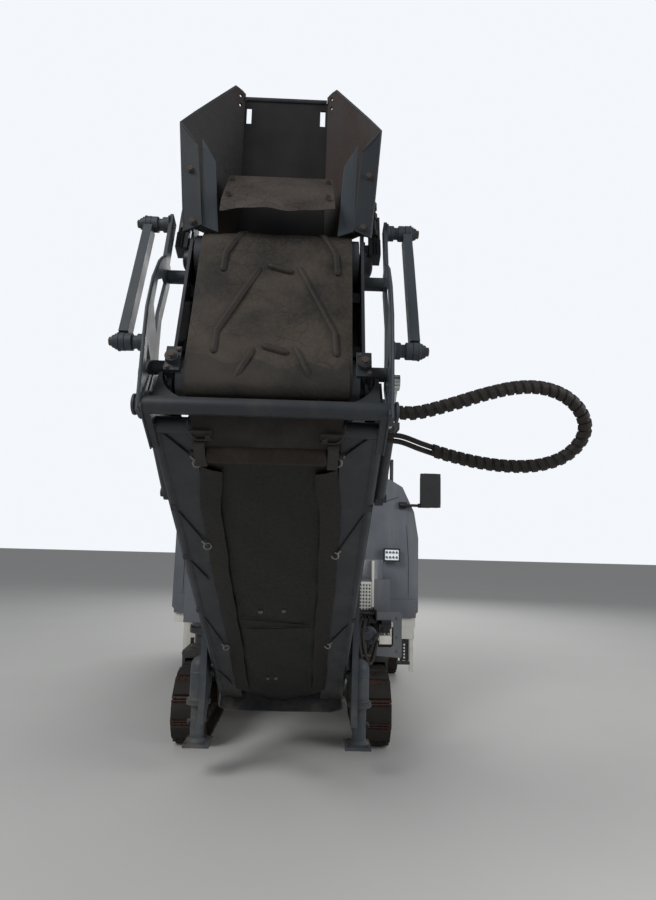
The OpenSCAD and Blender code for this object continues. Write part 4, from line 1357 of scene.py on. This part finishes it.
# What hangs on the frame beside the conveyor, and the machine hood's face

BODY_X = 0.06
HOOD_FACE_Y = 0.2595
CROSS_FACE_Y = -0.165
COLUMN_X = 0.69
BRACKET_Y = -0.326
RAM_X = 0.655
RAM_Z = 0.82
MIRROR_ARM_Y = 0.226
MIRROR_ARM_Z = 1.9


def add_column_covers():
    """Grey covers over the front lifting columns and their cross boxes."""
    covers = Piece("column_covers")
    collars = Piece("column_collars")
    for side in SIDES:
        x = side * COLUMN_X
        covers.lathe((x, 0, 0.812), UP, [(0, 0.122), (0.59, 0.1225), (0.594, 0.12), (0.595, 0.1)],
                     40)
        covers.box(side * 0.507, side * 0.857, -0.173, 0.173, 0.858, 1.2425)
        covers.box(side * 0.366, side * 0.509, -0.504, -0.17, 0.962, 1.2425)
        collars.lathe((x, 0, 0.757), UP,
                      [(0, 0.12), (0.004, 0.136), (0.052, 0.136), (0.058, 0.124)], 40)
        collars.bolts(around("XY", x, 0, 0.814, 0.128, 10), UP, 0.0065)
    covers.place("frame", "hood_paint")
    collars.place("frame", "dark_paint")


def add_service_bracket():
    """A C-shaped plate with small valves in its opening, on a bar from the right cross box."""
    frame_plate = Piece("service_bracket")
    outline = [(0.734, 0.65), (0.925, 0.638), (0.937, 0.65), (0.937, 0.982), (0.925, 0.994),
               (0.734, 0.994), (0.734, 0.93), (0.85, 0.93), (0.868, 0.91), (0.868, 0.74), (0.85, 0.72),
               (0.734, 0.72)]
    frame_plate.plate(outline, [], facing_y(BRACKET_Y), 0, 0.012)
    frame_plate.box(0.76, 0.82, BRACKET_Y + 0.01, CROSS_FACE_Y, 0.935, 0.985)
    frame_plate.bolts([(0.9, BRACKET_Y, z) for z in (0.69, 0.8, 0.95)], TO_CAMERA, 0.009)
    frame_plate.place("frame", "hood_paint")
    valves = Piece("service_valves")
    valves.box(0.745, 0.835, BRACKET_Y - 0.04, -0.17, 0.835, 0.9)
    valves.box(0.77, 0.85, BRACKET_Y - 0.02, CROSS_FACE_Y, 0.865, 0.93)
    valves.rod((0.79, BRACKET_Y - 0.06, 0.865), (0.79, BRACKET_Y, 0.865), 0.014)
    valves.rod((0.815, BRACKET_Y - 0.05, 0.865), (0.815, BRACKET_Y, 0.865), 0.011)
    valves.place("frame", "black_plastic")
    tank = Piece("service_white_block")
    tank.box(0.752, 0.85, BRACKET_Y - 0.022, BRACKET_Y + 0.02, 0.745, 0.812)
    tank.box(0.78, 0.81, BRACKET_Y, CROSS_FACE_Y, 0.86, 0.87)
    tank.box(0.79, 0.805, BRACKET_Y + 0.002, BRACKET_Y + 0.012, 0.8, 0.87)
    tank.place("frame", "cream_paint")


def add_tension_cylinder():
    """The end of a cylinder beside the bracket, and the rail that carries the cables over it."""
    ram = Piece("tension_cylinder")
    ram.lathe((RAM_X, CROSS_FACE_Y, RAM_Z), TO_CAMERA,
              [(0, 0.05), (0.01, 0.07), (0.2, 0.07), (0.21, 0.075), (0.245, 0.075), (0.25, 0.066),
               (0.252, 0.04), (0.262, 0.036)], 36)
    ram.box(0.63, 0.68, -0.3, CROSS_FACE_Y, 0.86, 0.9)
    ram.bolts(around("XZ", RAM_X, RAM_Z, -0.417, 0.056, 6, 0.5), TO_CAMERA, 0.007)
    ram.place("frame", "link_paint")
    rail = Piece("cable_rail")
    rail.box(0.585, 0.72, -0.44, CROSS_FACE_Y, 0.92, 0.93)
    rail.box(0.585, 0.593, -0.44, CROSS_FACE_Y, 0.92, 1.0)
    rail.box(0.712, 0.72, -0.44, CROSS_FACE_Y, 0.92, 1.02)
    for y in (-0.42, -0.33, -0.24):
        rail.box(0.59, 0.715, y, y + 0.014, 0.985, 1.0)
    for x in (0.615, 0.64, 0.668, 0.69):
        rail.tube([(x, -0.455, 0.94), (x, -0.36, 0.947), (x, -0.26, 0.95), (x, -0.16, 0.948)], 0.0105, 8)
    rail.place("frame", "black_plastic")


def add_lower_hoses():
    """Two thick hoses and a thin twin cable, clamped to a strut under the tension cylinder."""
    hoses = Piece("lower_hoses")
    for dx in (0, 0.034):
        hoses.tube([(0.6 + dx, -0.43, 0.95), (0.575 + dx, -0.5, 0.86), (0.585 + dx, -0.57, 0.73),
                    (0.61 + dx, -0.56, 0.635), (0.65 + dx, -0.48, 0.64), (0.68 + dx, -0.4, 0.72),
                    (0.7 + dx, -0.3, 0.78), (0.71 + dx, CROSS_FACE_Y, 0.87)], 0.014, 12, 6)
    for dx in (-0.006, 0.006):
        hoses.tube([(0.73 + dx, -0.33, 0.9), (0.715 + dx, -0.43, 0.82), (0.66 + dx, -0.5, 0.7),
                    (0.625 + dx, -0.53, 0.67), (0.6 + dx, -0.5, 0.76), (0.61 + dx, -0.41, 0.83)],
                   0.0045, 8, 6)
    hoses.place("frame", "black_rubber", bevel=0)
    clamp = Piece("hose_clamp")
    clamp.box(0.585, 0.665, -0.585, -0.535, 0.69, 0.702)
    clamp.rod((0.625, -0.545, 0.7), (0.64, -0.4, 0.78), 0.008)
    clamp.place("frame", "worn_steel")


def hole_grid(x, z, step, across, rows, half_w):
    """Rows of small holes, 28 mm apart, from the lowest left one at (x, z)."""
    return [square_hole(x + step * i, z + 0.028 * k, half_w, 0.008)
            for k in range(rows) for i in range(across)]


def add_side_plates():
    """Plates at both sides, the right step plate, and the strip and panel on the column cover."""
    white = Piece("side_plates")
    white.plate([(1.004, 0.71), (1.018, 0.696), (1.141, 0.696), (1.141, 0.868), (1.004, 0.868)],
                [square_hole(1.12, 0.72, 0.008, 0.008)], facing_y(0.29), 0, 0.02)
    white.box(1.1, 1.135, 0.3, 0.32, 0.41, 0.7)
    white.box(1.0, 1.12, 0.305, 0.72, 0.84, 0.866)
    white.box(0.703, 0.721, -0.186, -0.12, 0.953, 1.4)
    slot = square_hole(-0.9425, 0.5225, 0.0185, 0.07)
    white.plate([(-1.032, 0.34), (-1.01, 0.323), (-0.858, 0.323), (-0.858, 0.8), (-1.032, 0.8)], [slot],
                facing_y(0.78), 0, 0.014)
    white.box(-1.02, -0.87, 0.785, 0.9, 0.786, 0.81)
    white.place("frame", "cream_paint")
    holes = hole_grid(1.034, 0.53, 0.022, 3, 5, 0.006)
    grid = Piece("perforated_step_plate")
    grid.plate(rect(1.015, 1.097, 0.505, 0.694), holes, facing_y(0.312), 0, 0.006)
    grid.box(0.99, 1.106, 0.3, 0.33, 0.47, 0.5)
    grid.box(1.02, 1.04, 0.318, 0.338, 0.49, 0.85)
    grid.box(1.07, 1.09, 0.318, 0.338, 0.49, 0.85)
    grid.place("frame", "dark_paint")
    holes = hole_grid(0.584, 1.0, 0.025, 5, 8, 0.007)
    screen = Piece("perforated_panel")
    screen.plate(rect(0.569, 0.7, 0.98, 1.225), holes, facing_y(-0.185), 0, 0.012)
    screen.place("frame", "cream_paint")


def add_hood_face():
    """The machine hood's lower lip, its seams and its two lamps."""
    seams = Piece("hood_face_seams")
    lip = [(0.262, 1.046), (0.232, 1.046), (0.258, 0.885), (0.262, 0.885)]
    seams.prism(lip, "YZ", 0.77, 1.15)
    seams.prism(lip, "YZ", -1.03, -0.65)
    seams.place("frame", "hood_paint", bevel=0.004)
    joints = Piece("hood_face_gaps")
    for side in SIDES:
        x = BODY_X + side * 0.85
        joints.bar([(x - 0.08, HOOD_FACE_Y, 1.917), (x, HOOD_FACE_Y, 1.95),
                    (x + 0.08, HOOD_FACE_Y, 1.977)], 0.003, sides=6)
        x = BODY_X + side * 1.02
        joints.bar([(x, HOOD_FACE_Y, 1.05), (x, HOOD_FACE_Y, 1.4), (x - side * 0.02, HOOD_FACE_Y, 1.72)],
                   0.0025, sides=6)
    joints.place("frame", "black_plastic", bevel=0)
    housings = Piece("lamp_housings")
    cells = Piece("lamp_cells")
    for side in SIDES:
        x, z = BODY_X + side * 0.86, 1.445
        hole = square_hole(x, z, 0.063, 0.046)
        housings.plate(square_hole(x, z, 0.075, 0.06), [hole], facing_y(0.198), 0, 0.036)
        for k in range(8):
            cx, cz = x + 0.03 * (k % 4 - 1.5), z + 0.044 * (k // 4 - 0.5)
            cells.lathe((cx, 0.2045, cz), TO_CAMERA, [(0, 0.012), (0.004, 0.0125), (0.005, 0.01)], 16)
    housings.place("frame", "black_plastic")
    cells.place("frame", "mirror_glass", bevel=0)


def add_mirror():
    """The right mirror's round-cornered shell, its pane and its arm."""
    low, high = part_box("mirror")
    shell = Piece("mirror_shell")
    x0, x1, z0, z1 = high[0] - 0.182, high[0] + 0.002, high[2] - 0.312, high[2] + 0.002
    round_corner = [(x0 + 0.02, z0), (x1 - 0.02, z0), (x1, z0 + 0.03), (x1, z1 - 0.04), (x1 - 0.03, z1),
                    (x0 + 0.03, z1), (x0, z1 - 0.04), (x0, z0 + 0.03)]
    shell.prism(round_corner, "XZ", low[1] - 0.001, low[1] + 0.062)
    shell.rod((x0 - 0.02, MIRROR_ARM_Y, MIRROR_ARM_Z), (x0 + 0.09, MIRROR_ARM_Y, MIRROR_ARM_Z), 0.02)
    shell.tube([(1.0, MIRROR_ARM_Y, MIRROR_ARM_Z), (1.02, 0.215, MIRROR_ARM_Z),
                (1.06, 0.21, MIRROR_ARM_Z)], 0.018)
    shell.place("frame", "black_plastic", bevel=0.004)
    glass = Piece("mirror_pane")
    glass.box(x0 + 0.015, x1 - 0.015, low[1] + 0.061, low[1] + 0.064, z0 + 0.03, z1 - 0.03)
    glass.place("frame", "mirror_glass", bevel=0)


add_column_covers()
add_service_bracket()
add_tension_cylinder()
add_lower_hoses()
add_side_plates()
add_hood_face()
add_mirror()


# The machine's body: hoods, deck, canopy and lower frame

HOOD_TOP_Z = 2.1405
REAR_FACE_Y = 4.2405
RING_TOP_Z = 1.3781
DECK_Z = 1.4995
CANOPY_TOP_Z = 2.9505
BEACON_X = -0.75
BEACON_Y = 2.75


def louvres(piece, face_x, side, y0, y1, z0, z1, count):
    """Pressed louvres on a hood's side."""
    for k in range(count):
        z = z0 + (z1 - z0) * k / count
        low = z + (z1 - z0) / count * 0.75
        profile = [(0, z), (0.002, z), (0.014, z + 0.004), (0.016, z + 0.009), (0, low)]
        piece.prism([(face_x + side * d, h) for d, h in profile], "XZ", y0, y1)


def seam_frame(piece, plane, h, u0, u1, v0, v1):
    """A panel's gap as four thin dark bars, on a face that lies in a plane at h."""
    corners = rect(u0, u1, v0, v1)
    for (a, b), (c, d) in zip(corners, corners[1:] + corners[:1]):
        line = [in_plane(plane, u, v, h) for u, v in ((a, b), ((a + c) / 2, (b + d) / 2), (c, d))]
        piece.bar(line, 0.0028, sides=6)


def latch(piece, x, side, y, z0, z1):
    """A flat latch plate with its grip, on a hood's side."""
    piece.box(x, x + side * 0.008, y - 0.03, y + 0.03, z0, z1)
    piece.rod((x + side * 0.009, y, z0 + 0.01), (x + side * 0.009, y, z1 - 0.01), 0.007)


def add_front_hood_sides():
    """Panel gaps, latches and louvres on the front hood's sides, and its ribbed top."""
    gaps = Piece("front_hood_gaps")
    vents = Piece("front_hood_louvres")
    grips = Piece("front_hood_handles")
    for side in SIDES:
        x = BODY_X + side * 1.1105
        for y0, y1 in ((0.31, 0.88), (0.92, 1.5)):
            seam_frame(gaps, "YZ", x, y0, y1, 1.275, 1.57)
            latch(grips, x, side, y1 - 0.08, 1.39, 1.46)
        louvres(vents, x - side * 0.001, side, 0.38, 0.74, 1.3, 1.54, 7)
        louvres(vents, x - side * 0.001, side, 0.98, 1.36, 1.3, 1.54, 7)
    for x in (-0.38, 0.5):
        gaps.bar([(x, 0.3, HOOD_TOP_Z), (x, 0.9, HOOD_TOP_Z), (x, 1.52, HOOD_TOP_Z)], 0.003, sides=6)
    for y in (0.5, 0.74, 0.98, 1.22):
        rib = [(y, 2.139), (y + 0.012, 2.156), (y + 0.03, 2.16), (y + 0.1, 2.139)]
        vents.prism(rib, "YZ", -0.25, 0.37)
    gaps.place("frame", "black_plastic", bevel=0)
    vents.place("frame", "hood_paint", bevel=0)
    grips.place("frame", "black_plastic")


def add_engine_hood_details():
    """Panel gaps, latches, louvres, top rails and the exhaust outlet of the hood that lifts."""
    gaps = Piece("engine_hood_gaps")
    vents = Piece("engine_hood_louvres")
    dark = Piece("engine_hood_fittings")
    pipe = Piece("exhaust_outlet")
    for side in SIDES:
        x = BODY_X + side * 1.0505
        for y0, y1, vent0, vent1 in ((2.95, 3.54, 3.02, 3.42), (3.58, 4.15, 3.64, 4.02)):
            seam_frame(gaps, "YZ", x, y0, y1, 1.36, 1.77)
            louvres(vents, x - side * 0.001, side, vent0, vent1, 1.4, 1.73, 9)
            latch(dark, x, side, y1 - 0.06, 1.53, 1.6)
        dark.bar([(BODY_X + side * 0.8, y, 2.068) for y in (2.95, 3.5, 4.1)], 0.012)
    for k in range(7):
        y = 3.35 + 0.095 * k
        rib = [(y, 2.059), (y + 0.01, 2.074), (y + 0.026, 2.078), (y + 0.075, 2.059)]
        vents.prism(rib, "YZ", -0.4, 0.52)
    pipe_x = BODY_X + 0.55
    pipe.lathe((pipe_x, 3.08, 2.058), UP,
               [(0, 0.1), (0.01, 0.1), (0.012, 0.062), (0.13, 0.062), (0.14, 0.068), (0.15, 0.062)], 30)
    bend = [(3.08, 2.19), (3.085, 2.24), (3.12, 2.29), (3.18, 2.31)]
    pipe.tube([(pipe_x, y, z) for y, z in bend], 0.055, 20)
    gaps.place("engine_cover", "black_plastic", bevel=0)
    vents.place("engine_cover", "hood_paint", bevel=0)
    dark.place("engine_cover", "black_plastic")
    pipe.place("engine_cover", "worn_steel", bevel=0)


def add_lower_frame_details():
    """Bolted joints, hatches, tail lamps, slip-resistant steps and the slewing ring's bolts."""
    bolts = Piece("frame_bolts")
    gaps = Piece("frame_gaps")
    dark = Piece("frame_fittings")
    reds = Piece("tail_lamps")
    for side in SIDES:
        x = BODY_X + side * 1.0905
        bolts.bolts([(x, 2.86 + 0.17 * k, 1.23) for k in range(9)], (side, 0, 0), 0.011)
        bolts.bolts([(x, 2.02 + 0.3 * k, 0.985) for k in range(3)], (side, 0, 0), 0.011)
        bolts.bolts([(side * 0.437, -0.501, z) for z in (1.0, 1.1, 1.2)], TO_CAMERA, 0.012)
        bolts.bolts([(side * (0.47 + 0.16 * k), REAR_FACE_Y, z) for k in (0, 1) for z in (0.72, 1.1)],
                    (0, 1, 0), 0.014)
        reds.box(BODY_X + side * 0.86, BODY_X + side * 1.04, 4.299, 4.316, 1.19, 1.27)
        dark.box(BODY_X + side * 0.85, BODY_X + side * 1.05, 4.295, 4.303, 1.18, 1.28)
        for z in (0.516, 0.716):
            for k in range(7):
                y = 1.61 + 0.03 * k
                dark.box(BODY_X + side * 0.79, BODY_X + side * 1.04, y, y + 0.008, z, z + 0.006)
        dark.tube([(x, 1.5, 1.1), (x + side * 0.05, 1.5, 1.12), (x + side * 0.05, 1.5, 1.3),
                   (x + side * 0.05, 1.5, 1.5), (x, 1.5, 1.52)], 0.014, 12)
    seam_frame(gaps, "XZ", REAR_FACE_Y, -0.32, 0.32, 0.74, 1.12)
    dark.box(-0.06, 0.06, 4.239, 4.252, 0.92, 0.95)
    bolts.bolts(around("XY", 0, LEG_Y, RING_TOP_Z, 0.455, 28), UP, 0.011)
    bolts.place("frame", "worn_steel", bevel=0)
    gaps.place("frame", "black_plastic", bevel=0)
    dark.place("frame", "dark_paint", bevel=0)
    reds.place("frame", "red_lens")


def add_edge_plate_details():
    """The worn skid under each edge plate, and its bolts."""
    for side, word in ((-1, "left"), (1, "right")):
        low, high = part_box("side_plate_" + word)
        x = high[0] if side > 0 else low[0]
        skid = Piece("edge_plate_skid_" + word)
        skid.box(x - side * 0.02, x + side * 0.02, low[1] + 0.08, high[1] - 0.08, 0.061, 0.083)
        skid.bolts([(x, 0.9 + 0.11 * k, z) for k in range(6) for z in (0.16, 0.5)], (side, 0, 0), 0.012)
        skid.place("edge_plate_" + word, "worn_steel")


def add_deck_details():
    """Slip-resistant ribs, toe boards and the feet of the rail posts."""
    ribs = Piece("deck_ribs")
    for k in range(26):
        y = 1.86 + 0.032 * k
        ribs.box(-0.96, 1.08, y, y + 0.009, DECK_Z, DECK_Z + 0.004)
    for side in SIDES:
        x = BODY_X + side * 1.062
        ribs.box(x, x + side * 0.006, 1.66, 2.66, 1.5, 1.61)
        for y in (1.68, 2.16, 2.64):
            ribs.lathe((BODY_X + side * 1.04, y, 1.501), UP,
                       [(0, 0.05), (0.009, 0.05), (0.012, 0.03)])
    ribs.place("frame", "dark_paint", bevel=0)


def add_console():
    """The console's sloping panel, with its levers, knobs and screen."""
    tilt = math.atan2(0.12, 0.39)
    top = Matrix.Translation((BODY_X, 1.59, 2.2605)) @ Matrix.Rotation(-tilt, 4, "X")
    panel = Piece("console_panel", top)
    panel.box(-0.58, 0.58, 0.02, 0.39, -0.003, 0.008)
    panel.box(-0.17, 0.17, 0.05, 0.27, 0.006, 0.045)
    for x in (-0.42, 0.42):
        panel.lathe((x, 0.2, 0.006), UP,
                    [(0, 0.05), (0.012, 0.046), (0.03, 0.02), (0.1, 0.011), (0.11, 0.02), (0.15, 0.023),
                     (0.165, 0.012)])
    for k in range(24):
        x = 0.21 + 0.035 * (k % 4)
        y = 0.06 + 0.045 * (k // 4)
        for side in SIDES:
            panel.rod((side * x, y, 0.007), (side * x, y, 0.018), 0.009, sides=12)
    panel.place("frame", "black_plastic")
    screen = Piece("console_screen", top)
    screen.box(-0.145, 0.145, 0.07, 0.25, 0.044, 0.047)
    screen.place("frame", "mirror_glass", bevel=0)


def add_seat():
    """The seat's two cushions, its arms and the bellows under it."""
    seat_x, seat_y = BODY_X + 0.42, 2.34
    cushion = Piece("seat_cushion")
    cushion.box(seat_x - 0.235, seat_x + 0.235, seat_y - 0.245, seat_y + 0.16, 1.84, 1.925)
    soft = cushion.place("frame", "seat_vinyl", bevel=0.028)
    rest = Piece("seat_backrest")
    rest.box(seat_x - 0.225, seat_x + 0.225, seat_y + 0.155, seat_y + 0.25, 1.95, 2.37)
    soft = rest.place("frame", "seat_vinyl", bevel=0.03)
    arms = Piece("seat_arms")
    for side in SIDES:
        arms.box(seat_x + side * 0.245, seat_x + side * 0.3, seat_y - 0.15, seat_y + 0.2, 2.06, 2.1)
        x, y = seat_x + side * 0.27, seat_y + 0.16
        arms.rod((x, y, 1.86), (x, y, 2.07), 0.014)
        arms.rod((x - side * 0.05, y, 1.87), (x + side * 0.01, y, 1.87), 0.012)
    for z in (1.56, 1.62, 1.68, 1.74):
        arms.box(seat_x - 0.1, seat_x + 0.1, seat_y - 0.12, seat_y + 0.12, z, z + 0.03)
    arms.place("frame", "black_plastic")


def add_canopy_details():
    """The canopy's ribs and bolts, its four lamps and the beacon."""
    ribs = Piece("canopy_ribs")
    for k in range(5):
        y = 1.5 + 0.35 * k
        ribs.box(-0.98, 1.1, y, y + 0.04, 2.815, 2.842)
    for side in SIDES:
        x = BODY_X + side * 1.0905
        ribs.box(x - side * 0.012, x, 1.41, 2.99, 2.828, 2.905)
    ribs.bolts([(BODY_X + 0.25 * k, y, CANOPY_TOP_Z) for k in range(-3, 4) for y in (1.5, 2.9)], UP)
    ribs.place("frame", "dark_paint")
    lamps = Piece("canopy_lamps")
    glass = Piece("canopy_lamp_glass")
    for side in SIDES:
        for y, face in ((1.45, -1), (2.94, 1)):
            x = BODY_X + side * 0.75
            lamps.box(x - 0.07, x + 0.07, y - 0.02, y + 0.02, 2.73, 2.82)
            lamps.rod((x, y, 2.8), (x, y, 2.845), 0.012)
            glass.box(x - 0.06, x + 0.06, y + face * 0.019, y + face * 0.024, 2.74, 2.81)
    lamps.place("frame", "black_plastic")
    glass.place("frame", "lamp_lens", bevel=0)
    beacon = Piece("beacon")
    beacon.lathe((BEACON_X, BEACON_Y, 2.975), UP,
                 [(0, 0.055), (0.06, 0.052), (0.085, 0.035), (0.09, 0.01)])
    beacon.place("frame", "amber_lens", bevel=0)
    foot = Piece("beacon_foot")
    foot.lathe((BEACON_X, BEACON_Y, 2.949), UP, [(0, 0.065), (0.02, 0.065), (0.028, 0.05)])
    foot.place("frame", "black_plastic", bevel=0)


add_front_hood_sides()
add_engine_hood_details()
add_lower_frame_details()
add_edge_plate_details()
add_deck_details()
add_console()
add_seat()
add_canopy_details()
